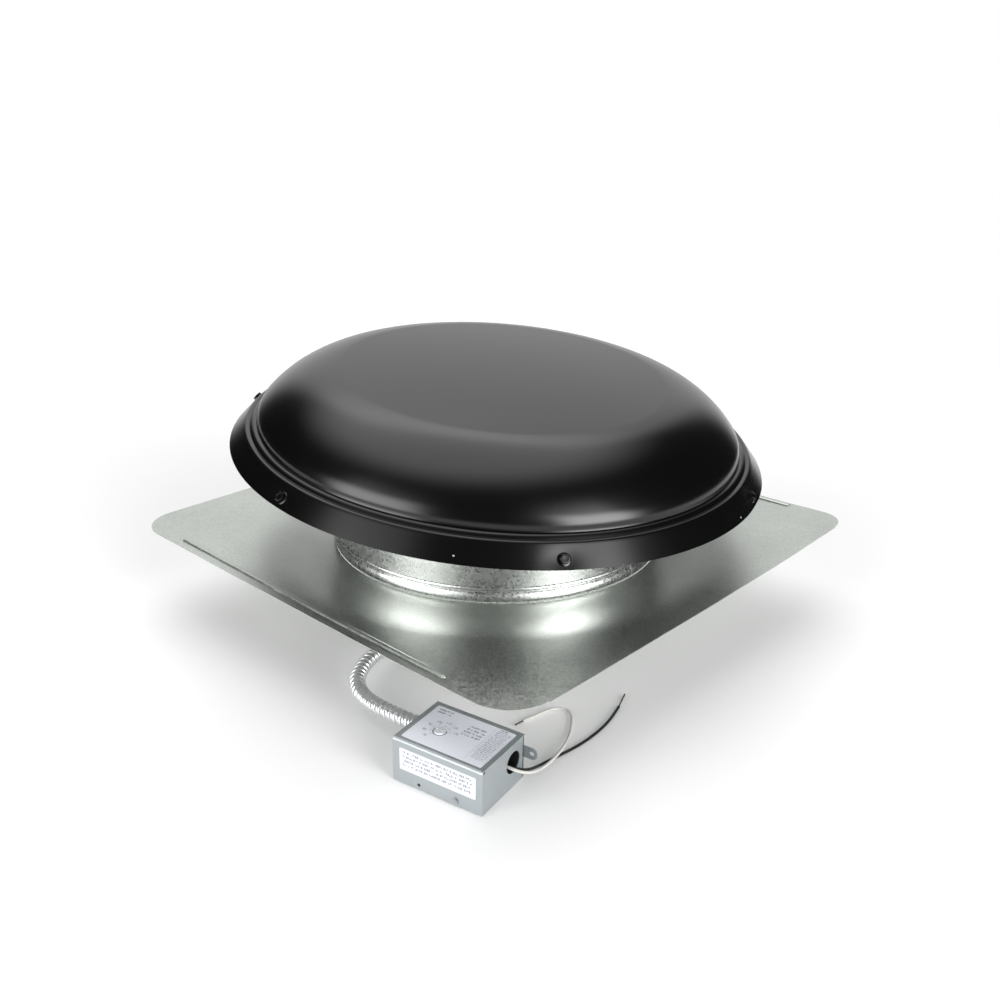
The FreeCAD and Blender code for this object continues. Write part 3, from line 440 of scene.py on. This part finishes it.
BLACK_ROUTE = [
    (226.4, -268.3, -81), (236.8, -266.8, -81), (247.2, -265.3, -81.2), (257.5, -264.5, -81.8),
    (266, -262.3, -83), (270.3, -256.4, -86), (271.2, -247.5, -90.6), (269.3, -237, -95.6),
    (267, -225, -100), (266.5, -211, -102.3), (268.3, -196, -102.3), (270.8, -178, -102.3),
    (271.6, -159, -102.3), (270.6, -140, -102.3), (268, -122, -102.3), (263.8, -105, -102.3),
    (258, -88, -102.3),
]
WHITE_TIP, BLACK_TIP = mm(203, -188, -102.3), mm(248, -64, -102.3)
CONDUIT_RADIUS, CONDUIT_PITCH, CONDUIT_GROOVE = 0.0085, 0.0072, 0.0015
LEAD_RADIUS = 0.0015
STRAND_RADIUS, STRAND_CIRCLE, STRAND_LAY, STRAND_SUNK = 0.00026, 0.00052, 0.014, 0.0004


def conduit_radius(phase):
    """Outer radius over one turn of the strip: a wide round crown, a low band tucked under it, a groove."""
    if phase < 0.56:
        return CONDUIT_RADIUS - 0.0007 * abs(2 * phase / 0.56 - 1) ** 3
    if phase < 0.64 or phase > 0.94:
        return CONDUIT_RADIUS - CONDUIT_GROOVE
    return CONDUIT_RADIUS - 0.0009 - 0.0003 * abs(2 * (phase - 0.64) / 0.3 - 1) ** 3


def make_conduit():
    """Interlocked strip wound into a flexible tube."""
    line, along = evenly(sampled([mm(*p) for p in CONDUIT_ROUTE]), CONDUIT_PITCH / 16)

    def radius(i, turn):
        return conduit_radius((along[i] / CONDUIT_PITCH - turn / TAU) % 1)

    verts, faces = tube(line, radius, 32)
    obj = piece("conduit_armour", verts, faces, "conduit_steel", replaces=["conduit"],
                slot="galvanised_steel")
    sharpen(obj, 50)


def make_lead(name, route, tip, material):
    """Insulated lead as a bevelled curve, with seven twisted strands at its bare end."""
    points = [mm(*p) for p in route]
    curve = nurbs(name + "_insulation", points)
    curve.bevel_depth = LEAD_RADIUS
    curve.bevel_resolution = 5
    curve.use_fill_caps = True
    curve.materials.append(MATERIALS[material])
    obj = bpy.data.objects.new(name + "_insulation", curve)
    bpy.context.scene.collection.objects.link(obj)
    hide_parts(name)
    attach(obj, HOUSING)
    way = tip - points[-1]
    length = way.length
    way.normalize()
    side = way.cross(Vector((0, 0, 1))).normalized()
    up = way.cross(side)
    strands = []
    for k in range(7):
        ring = STRAND_CIRCLE if k else 0
        line = []
        for i in range(17):
            s = i / 16
            turn = TAU * (k / 6 + length * s / STRAND_LAY)
            out = side * math.cos(turn) + up * math.sin(turn)
            line.append(points[-1] + way * (length * s - STRAND_SUNK) + out * (ring * (1 + 0.25 * s)))
        strands.append(tube(line, lambda i, turn: STRAND_RADIUS, 8))
    bare = piece(name + "_bare_end", *gather(strands), "bare_copper", replaces=[name + "_strands"])
    line = sampled(points)


# ---------------------------------------------------------------- dome

TILT = math.radians(5.15)
RIM_HEIGHT = 104.9
DOME_MATRIX = Matrix.Translation((0, 0, RIM_HEIGHT)) @ Matrix.Rotation(TILT, 4, "Y")
SCREW_ANGLES = [19, 83, 147, 211, 267, 325]
SKIRT_TOP, SKIRT_RIM = Vector((290, 19)), Vector((306, 0))
SCREW_UP_SKIRT = 0.42
DOME_WALK = [
    (0, 90), (12, 90, -3830), (187, 86, -128), (271.5, 39.5, -22), (276, 25.9), (276.6, 23.9),
    (280.4, 23.5, -1.8), (282, 22.2), (284, 20.2), (287, 20.6, -3), (290, 19), (306, 0),
]


def screw_spot(angle):
    """Where a screw meets the skirt and which way is out of the metal, in the dome's frame in millimetres."""
    at = SKIRT_RIM.lerp(SKIRT_TOP, SCREW_UP_SKIRT)
    run = (SKIRT_RIM - SKIRT_TOP).normalized()
    out = Vector((-run.y, run.x))
    turn = math.radians(angle)
    place = Vector((at.x * math.cos(turn), at.x * math.sin(turn), at.y))
    normal = Vector((out.x * math.cos(turn), out.x * math.sin(turn), out.y))
    return place, normal, Vector((-math.sin(turn), math.cos(turn), 0))


SCREW_SPOTS = [screw_spot(angle) for angle in SCREW_ANGLES]
DIMPLE, DIMPLE_LENGTH, DIMPLE_WIDTH, DIMPLE_REACH = 1.5, 17, 13, 60


def pulled_in(point):
    """How far the skin is drawn in at a point: a dimple round each screw."""
    depth = 0.0
    for place, _, along in SCREW_SPOTS:
        away = point - place
        if away.length > DIMPLE_REACH:
            continue
        across = away.dot(along)
        rest = (away - along * across).length
        depth += DIMPLE * math.exp(-(across / DIMPLE_LENGTH) ** 2 - (rest / DIMPLE_WIDTH) ** 2)
    return depth


def make_dome():
    """The spun skin, with a wall, from the crown down to the foot of its skirt."""
    profile = walk_outline(DOME_WALK, 2.0)
    around = 360
    outer, inner = [], []
    for i, p in enumerate(profile):
        before, after = profile[max(i - 1, 0)], profile[min(i + 1, len(profile) - 1)]
        way = (after - before).normalized()
        out = Vector((-way.y, way.x))
        for j in range(around):
            turn = TAU * j / around
            spin = Vector((math.cos(turn), math.sin(turn)))
            normal = Vector((out.x * spin.x, out.x * spin.y, out.y))
            place = Vector((p.x * spin.x, p.x * spin.y, p.y))
            place -= normal * pulled_in(place)
            outer.append(DOME_MATRIX @ place * MM)
            inner.append(DOME_MATRIX @ (place - normal * SHEET) * MM)
    rows = len(profile)
    verts = outer + inner
    top = grid_faces(rows, around)
    whole, last = rows * around, (rows - 1) * around
    under = [tuple(reversed([k + whole for k in face])) for face in top]
    lip = []
    for j in range(around):
        a, b = last + j, last + (j + 1) % around
        lip.append((a, b, b + whole, a + whole))
    faces = [face[::-1] for face in top + under + lip]
    obj = piece("dome_skin", verts, faces, "black_paint", replaces=["dome"])
    face_outward(obj, merge=1e-6)
    sharpen(obj)


WASHER = [(1.0, -0.1), (5.6, -0.1), (6.8, 0.2), (6.85, 0.7), (6.3, 1.0), (4.9, 1.25), (1.0, 1.25)]
# radius, height and how six-sided each ring of the head is
HEXAGON = [(5.3, 1.2, 1), (5.3, 4.6, 1), (4.7, 5.2, 0.3), (3.6, 5.25, 0), (3.1, 4.6, 0), (0.6, 4.5, 0)]
SHANK_RADIUS, SHANK_LENGTH, THREAD_DEPTH, THREAD_PITCH = 2.05, 10.2, 0.3, 1.6


def capped_rings(rings, flip=False):
    """Verts and faces of rings of points, one above another, closed at both ends."""
    around = len(rings[0])
    last = (len(rings) - 1) * around
    low, high = tuple(range(around))[::-1], tuple(last + j for j in range(around))
    ends = [low[::-1], high[::-1]] if flip else [low, high]
    return [v for ring in rings for v in ring], grid_faces(len(rings), around) + ends


def hexagon_ring(radius, height, share, around=48):
    """One ring of the head, between round (share 0) and six-sided (share 1)."""
    ring = []
    for j in range(around):
        turn = TAU * j / around
        flat = math.cos(math.pi / 6) / math.cos((turn + math.pi / 6) % (math.pi / 3) - math.pi / 6)
        reach = radius * (share * flat + (1 - share) * min(1, flat * 1.02))
        ring.append(Vector((reach * math.cos(turn), reach * math.sin(turn), height)))
    return ring


def shank_ring(z, around=20):
    """One ring of the threaded shank."""
    ring = []
    for j in range(around):
        turn = TAU * j / around
        radius = SHANK_RADIUS + THREAD_DEPTH * abs(((z / THREAD_PITCH - turn / TAU) % 1) * 2 - 1)
        ring.append(Vector((radius * math.cos(turn), radius * math.sin(turn), z)))
    return ring


def make_screws():
    """Hex washer-head screws: dished washer, chamfered hexagon with a hollow top, and a threaded shank."""
    turns = [TAU * j / 48 for j in range(48)]
    washer = capped_rings([[Vector((r * math.cos(t), r * math.sin(t), z)) for t in turns] for r, z in WASHER])
    head = capped_rings([hexagon_ring(*row) for row in HEXAGON])
    stem = capped_rings([shank_ring(-0.2 - SHANK_LENGTH * i / 43) for i in range(44)], flip=True)
    parts = []
    for place, normal, along in SCREW_SPOTS:
        turn = Matrix((along.cross(normal), along, normal)).transposed()
        seat = place - normal * (DIMPLE - 0.05)
        for verts, faces in (washer, head, stem):
            parts.append(([DOME_MATRIX @ (seat + turn @ v) * MM for v in verts], faces))
    obj = piece("dome_screw_set", *gather(parts), "black_paint", replaces=["dome_screws"])
    sharpen(obj, 35)


# ---------------------------------------------------------------- flashing

HALF, CORNER, SHARP_CORNER, NIB = 304.8, 46.0, 32.0, 1.5
RIB_START = -218.0
RIBS = ((-292.3, 208.0), (296.0, 227.0))
SEAT, FOOT, RISE = 204.0, 288.0, -9.0
THROAT_HOLE = 194.3
SPRUNG_FAR, SPRUNG_NEAR = 5.5, 3.2
RIB_RADIUS, RIB_CROWN, RIB_SUNK = 2.8, 1.9, 0.1


def plate_reach(turn):
    """Distance from the centre to the plate's edge in this direction."""
    x, y = math.cos(turn), math.sin(turn)
    straight = HALF / max(abs(x), abs(y))
    px, py = abs(x) * straight, abs(y) * straight
    radius = SHARP_CORNER if x > 0 and y > 0 else CORNER
    inner = HALF - radius
    if px <= inner or py <= inner:
        return straight
    nib = NIB if x > 0 else 0
    centre = Vector((inner - nib, inner))
    way = Vector((abs(x), abs(y)))
    along = way.dot(centre)
    across = centre.length_squared - along ** 2
    if across >= radius ** 2:
        return straight
    return min(straight, along + math.sqrt(radius ** 2 - across))


def plate_height(r, x, y):
    """Top of the sheet: the sunken seat, the S-shaped slope to it, two sprung corners and slight waves."""
    if r <= SEAT:
        return RISE + SHEET
    lift = RISE * (0.5 + 0.5 * math.cos(math.pi * min(1, (r - SEAT) / (FOOT - SEAT))))
    sprung = max(0, r - FOOT) / (HALF * math.sqrt(2) - FOOT)
    if x > 0:
        corner = SPRUNG_FAR if y > 0 else SPRUNG_NEAR
        lift += corner * sprung ** 1.3 * min(1, 1.4 * abs(y) / HALF) * x / HALF
    fade = min(1, (r - SEAT) / 40)
    wave = 0.7 * noise.noise(Vector((x / 150, y / 150, 3.7)))
    wave += 0.2 * noise.noise(Vector((x / 45, y / 45, 1.2)))
    return lift + SHEET + fade * wave


def make_flashing():
    """The sheet as one grid from its hole out to its edge, and two half-round ribs on it."""
    around = 720
    radii = [THROAT_HOLE, 199, SEAT] + [SEAT + (FOOT - SEAT) * i / 26 for i in range(1, 27)]
    rings = []
    for r in radii:
        rings.append([(r, TAU * j / around) for j in range(around)])
    steps = 22
    for i in range(1, steps + 1):
        share = i / steps
        rings.append([(FOOT + (plate_reach(TAU * j / around) - FOOT) * share, TAU * j / around)
                      for j in range(around)])
    top, under = [], []
    for ring in rings:
        for r, turn in ring:
            x, y = r * math.cos(turn), r * math.sin(turn)
            z = plate_height(r, x, y)
            top.append(mm(x, y, z))
            under.append(mm(x, y, z - SHEET))
    rows = len(rings)
    faces = grid_faces(rows, around)
    count = rows * around
    lower = [tuple(reversed([k + count for k in face])) for face in faces]
    edges = []
    for row, flip in ((0, True), (rows - 1, False)):
        for j in range(around):
            a, b = row * around + j, row * around + (j + 1) % around
            quad = (a, b, b + count, a + count)
            edges.append(quad[::-1] if flip else quad)
    faces = [face[::-1] for face in faces + lower + edges]
    obj = piece("flashing_sheet", top + under, faces, "galvanised_steel", replaces=["flashing"])
    face_outward(obj)
    sharpen(obj, 50)
    parts = []
    for rib_y, rib_end in RIBS:
        rows_made, verts = 0, []
        stations = [RIB_START - 3 + i * 0.6 for i in range(6)] + [rib_end - 0.6 * i for i in range(5, -6, -1)]
        stations += [RIB_START + 8 * i for i in range(1, 54)]
        for x in sorted(s for s in stations if s <= rib_end + 3):
            over = max(RIB_START - x, x - rib_end, 0)
            width = math.sqrt(max(RIB_RADIUS ** 2 - over ** 2, 0.01))
            for k in range(13):
                turn = math.pi * k / 12
                y = rib_y + width * math.cos(turn)
                crown = RIB_CROWN * width / RIB_RADIUS * math.sin(turn) ** 0.8
                verts.append(mm(x, y, plate_height(math.hypot(x, y), x, y) + crown - RIB_SUNK))
            rows_made += 1
        faces = grid_faces(rows_made, 13, wrap_columns=False)
        parts.append((verts, faces))
    ribs = piece("flashing_ribs", *gather(parts), "galvanised_steel")
    shell = ribs.modifiers.new("wall", "SOLIDIFY")
    shell.thickness = 0.0004
    shell.offset = 0


# ---------------------------------------------------------------- bird screen

SCREEN_RADIUS, SCREEN_FOOT, MESH_PITCH, WIRE = 189.5, 73.0, 12.7, 0.55
HEM, HEM_OUTSIDE, HEM_INSIDE = 6, 190, 188.4


def screen_top(turn):
    x = SCREEN_RADIUS * math.cos(turn)
    return RIM_HEIGHT + (80 - x * math.sin(TILT)) / math.cos(TILT)


def make_screen():
    """Woven hardware cloth rolled to a ring, hemmed by a folded strip above and below."""
    parts = []
    count = round(TAU * SCREEN_RADIUS / MESH_PITCH)

    def at(turn, z, radius=SCREEN_RADIUS):
        return mm(radius * math.cos(turn), radius * math.sin(turn), z)

    def wire(line):
        return tube(line, lambda i, t: WIRE * MM, 6)

    for k in range(count):
        turn = TAU * k / count
        parts.append(wire([at(turn, SCREEN_FOOT + 1), at(turn, screen_top(turn) - 1)]))
    level = SCREEN_FOOT + MESH_PITCH
    while level < max(screen_top(math.pi), screen_top(0)):
        run = []
        for k in range(2 * count + 1):
            turn = TAU * k / (2 * count)
            if screen_top(turn) > level:
                run.append(at(turn, level, SCREEN_RADIUS - 0.8))
                continue
            if len(run) > 2:
                parts.append(wire(run))
            run = []
        if len(run) > 2:
            parts.append(wire(run))
        level += MESH_PITCH
    for low in (True, False):
        ring = []
        for k in range(240):
            turn = TAU * k / 240
            foot = SCREEN_FOOT if low else screen_top(turn) - HEM
            for radius, z in ((HEM_OUTSIDE, foot), (HEM_OUTSIDE, foot + HEM),
                              (HEM_INSIDE, foot + HEM), (HEM_INSIDE, foot)):
                ring.append(at(turn, z, radius))
        parts.append((ring, grid_faces(240, 4, wrap_rows=True)))
    obj = piece("screen_cloth", *gather(parts), "galvanised_steel", replaces=["bird_screen"], smooth=False)
    face_outward(obj)


# ---------------------------------------------------------------- junction box

BOX_MATRIX = Matrix.Translation((179.5, -330.4, -104)) @ Matrix.Rotation(math.radians(10.25), 4, "Z")
BOX_HEIGHT = 47.0
DIAL_X, DIAL_Y = 31.5, 30.7
DIAL_HOLE, TICK_CIRCLE, FIGURE_CIRCLE, TICK_HALF = 6.2, 9.6, 15, 0.45
LABEL, INK = 0.15, 0.04


def in_box(x, y, z):
    return BOX_MATRIX @ Vector((x, y, z)) * MM


def slab(low, high):
    """A small flat block between two corners of the box's frame."""
    corners = [(x, y, z) for x in (low[0], high[0]) for y in (low[1], high[1]) for z in (low[2], high[2])]
    faces = [(0, 1, 3, 2), (4, 6, 7, 5), (0, 4, 5, 1), (2, 3, 7, 6), (0, 2, 6, 4), (1, 5, 7, 3)]
    return [in_box(*c) for c in corners], faces


def text_mesh(word, size, place):
    """Raised figures, as mesh, with place(x, y, z) giving the point for a point of the text."""
    curve = bpy.data.curves.new("figure", "FONT")
    curve.body = word
    curve.size = size
    curve.align_x = "CENTER"
    curve.align_y = "CENTER"
    curve.extrude = 0.02
    obj = bpy.data.objects.new("figure", curve)
    mesh = bpy.data.meshes.new_from_object(obj)
    verts = [place(v.co.x, v.co.y, v.co.z) for v in mesh.vertices]
    faces = [tuple(p.vertices) for p in mesh.polygons]
    bpy.data.objects.remove(obj)
    bpy.data.meshes.remove(mesh)
    return verts, faces


def label_outline(low, high, corner):
    """Outline of a label with round corners."""
    outline = []
    for cx, cy, start in ((high[0] - corner, high[1] - corner, 0), (low[0] + corner, high[1] - corner, 90),
                          (low[0] + corner, low[1] + corner, 180), (high[0] - corner, low[1] + corner, 270)):
        for i in range(7):
            turn = math.radians(start + 15 * i)
            outline.append((cx + corner * math.cos(turn), cy + corner * math.sin(turn)))
    return outline


def make_labels():
    """Plain labels: a dial scale with figures, two rules, and rows of strokes that are no letters."""
    top = BOX_HEIGHT
    outline = label_outline((5.5, 5.5), (93.5, 65.5), 1.2)
    count = len(outline)
    hole = []
    middle = Vector((DIAL_X, DIAL_Y))
    for x, y in outline:
        way = (Vector((x, y)) - middle).normalized()
        hole.append((middle.x + DIAL_HOLE * way.x, middle.y + DIAL_HOLE * way.y))
    verts = [in_box(x, y, z) for z in (top, top + LABEL) for ring in (outline, hole) for x, y in ring]
    faces = []
    for j in range(count):
        k = (j + 1) % count
        faces.append((2 * count + j, 2 * count + k, 3 * count + k, 3 * count + j))
        faces.append((j, count + j, count + k, k))
        faces.append((j, k, 2 * count + k, 2 * count + j))
        faces.append((count + k, count + j, 3 * count + j, 3 * count + k))
    piece("box_top_label", verts, faces, "label", replaces=["top_label"], smooth=False)
    front = label_outline((8, 15.5), (92, 38.5), 1.0)
    verts = [in_box(x, y, z) for y in (0, -LABEL) for x, z in front]
    count = len(front)
    faces = [tuple(range(count)), tuple(reversed([count + j for j in range(count)]))]
    faces += [(j, count + j, count + (j + 1) % count, (j + 1) % count) for j in range(count)]
    piece("box_front_label", verts, faces, "label", replaces=["front_label"], smooth=False)
    chance = random.Random(5)
    marks = []
    lift = top + LABEL

    def lines(x0, x1, y0, step, rows, height, place):
        """Rows of blank strokes in word-like runs, none of them a letter."""
        for row in range(rows):
            y = y0 - row * step
            x = x0 + chance.uniform(0, 2)
            while x < x1 - height:
                for _ in range(chance.randint(2, 7)):
                    wide = height * chance.uniform(0.3, 0.75)
                    low = y + height * chance.choice((0, 0, 0.35))
                    if x + wide < x1:
                        marks.append(place(x, x + wide, low, y + height * chance.choice((1, 1, 0.6))))
                    x += wide + height * 0.18
                x += height * 0.55

    def on_top(x0, x1, y0, y1):
        return slab((x0, y0, lift), (x1, y1, lift + INK))

    def on_front(x0, x1, z0, z1):
        return slab((x0, -LABEL - INK, z0), (x1, -LABEL, z1))

    lines(49, 70, 52, 4.6, 4, 2.3, on_top)
    lines(75, 91, 60, 2.1, 23, 1.0, on_top)
    lines(9, 26, 60, 4.2, 2, 2.2, on_top)
    lines(76, 86, 62.4, 3, 1, 1.6, on_top)
    for x in (73.2, 92.4):
        marks.append(on_top(x, x + 0.2, 10, 62))
    lines(11, 89, 33.6, 4.5, 4, 2.5, on_front)
    ring = []
    for i in range(8, 60):
        turn = TAU * i / 64 + 0.9
        way = Vector((math.cos(turn), math.sin(turn)))
        ring += [in_box(DIAL_X + r * way.x, DIAL_Y + r * way.y, lift + z)
                 for z in (0, 0.05) for r in (6.25, 7.0)]
    ring_faces = [(4 * i + 2, 4 * i + 3, 4 * i + 7, 4 * i + 6) for i in range(51)]
    piece("dial_ring_print", ring, ring_faces, "ink", smooth=False, slot="label")
    for i, figure in enumerate((70, 80, 90, 100, 110, 120, 130)):
        turn = math.radians(235 - 36 * i)
        way = Vector((math.cos(turn), math.sin(turn)))
        spot, tick = (Vector((DIAL_X + far * way.x, DIAL_Y + far * way.y))
                      for far in (FIGURE_CIRCLE, TICK_CIRCLE))

        def around_spot(x, y, z, spot=spot):
            return in_box(spot.x + x, spot.y + y, lift + 0.02 + z)

        marks.append(text_mesh(str(figure), 4.2, around_spot))
        marks.append(on_top(tick.x - TICK_HALF, tick.x + TICK_HALF, tick.y - TICK_HALF,
                            tick.y + TICK_HALF))
    piece("label_print", *gather(marks), "print", smooth=False, slot="label")


# ---------------------------------------------------------------- light and floor

CAMERA_HEADING = AZIMUTH - math.pi / 2
ROOM_GLOW = 0.015
FLOOR_RADIUS, FLOOR_DROP = 1.6, 0.0003


class Studio(Nodes):
    """The room as light from each direction, with headings measured round from the camera's."""

    def __init__(self, tree):
        super().__init__(tree)
        self.direction = self.node("ShaderNodeTexCoord").outputs["Generated"]
        split = self.node("ShaderNodeSeparateXYZ")
        self.link(self.direction, split.inputs[0])
        self.elevation = self.math("ARCSINE", split.outputs[2])
        self.total = ROOM_GLOW

    def edge(self, value, outside, inside):
        """0 to 1 between two angles in degrees."""
        low, high = sorted((math.radians(outside), math.radians(inside)))
        ends = (0, 1) if outside < inside else (1, 0)
        return self.span(value, *ends, low, high, "SMOOTHSTEP")

    def add(self, radiance, *masks):
        amount = radiance
        for mask in masks:
            amount = self.math("MULTIPLY", mask, amount)
        self.total = self.math("ADD", amount, self.total)

    def tall_panel(self, radiance, heading, half_width, low, high, soft, top_soft):
        turned = self.node("ShaderNodeMapping")
        turned.inputs["Rotation"].default_value = (0, 0, -(CAMERA_HEADING + math.radians(heading)))
        self.link(self.direction, turned.inputs["Vector"])
        split = self.node("ShaderNodeSeparateXYZ")
        self.link(turned.outputs[0], split.inputs[0])
        swing = self.math("ABSOLUTE", self.math("ARCTAN2", split.outputs[1], split.outputs[0]))
        self.add(radiance, self.edge(swing, half_width + soft, half_width - soft),
                 self.edge(self.elevation, low - soft, low + soft),
                 self.edge(self.elevation, high + top_soft, high - top_soft))

    def round_panel(self, radiance, heading, elevation, outer, inner):
        turn, rise = CAMERA_HEADING + math.radians(heading), math.radians(elevation)
        toward = self.node("ShaderNodeVectorMath", operation="DOT_PRODUCT")
        toward.inputs[1].default_value = (math.cos(turn) * math.cos(rise), math.sin(turn) * math.cos(rise),
                                          math.sin(rise))
        self.link(self.direction, toward.inputs[0])
        self.add(radiance, self.edge(self.math("ARCCOSINE", toward.outputs["Value"]), outer, inner))


def make_world():
    """A white wall behind, a softbox at each side of the camera, and a round one overhead."""
    world = bpy.data.worlds.new("studio")
    bpy.context.scene.world = world
    world.use_nodes = True
    studio = Studio(world.node_tree)
    studio.tall_panel(0.85, 180, 30, -80, 54, 6, 6)
    studio.tall_panel(9.5, 46, 16, -14, 36, 5, 21)
    studio.tall_panel(5.6, -54, 20, -14, 36, 7, 21)
    studio.round_panel(1.85, -165, 70, 44, 20)
    light = world.node_tree.nodes["Background"]
    studio.link(studio.total, light.inputs["Strength"])
    seen = studio.node("ShaderNodeBackground")
    seen.inputs["Color"].default_value = (1, 1, 1, 1)
    either = studio.node("ShaderNodeMixShader")
    studio.link(studio.node("ShaderNodeLightPath").outputs["Is Camera Ray"], either.inputs[0])
    studio.link(light.outputs[0], either.inputs[1])
    studio.link(seen.outputs[0], either.inputs[2])
    studio.link(either.outputs[0], world.node_tree.nodes["World Output"].inputs["Surface"])
    light.inputs["Color"].default_value = (1, 1, 1, 1)


def make_floor():
    """A plain pale disc just under the object."""
    around = 96
    turns = [TAU * i / around for i in range(around)]
    rim = [(FLOOR_RADIUS * math.cos(t), FLOOR_RADIUS * math.sin(t), FLOOR - FLOOR_DROP) for t in turns]
    mesh = bpy.data.meshes.new("floor")
    mesh.from_pydata(rim, [], [tuple(range(around))])
    glow = {"Emission Color": (1, 1, 1, 1), "Emission Strength": 0.14}
    pale = Shader("floor", (0.86, 0.86, 0.86), 0.8, **glow)
    mesh.materials.append(pale.material)
    obj = bpy.data.objects.new("floor", mesh)
    bpy.context.scene.collection.objects.link(obj)


make_camera()
make_conduit()
make_lead("white_lead", WHITE_ROUTE, WHITE_TIP, "white_insulation")
make_lead("black_lead", BLACK_ROUTE, BLACK_TIP, "black_insulation")
paint_nodes()
make_dome()
make_screws()
make_flashing()
make_screen()
make_labels()
make_world()
make_floor()
bpy.context.scene.view_settings.view_transform = "Standard"
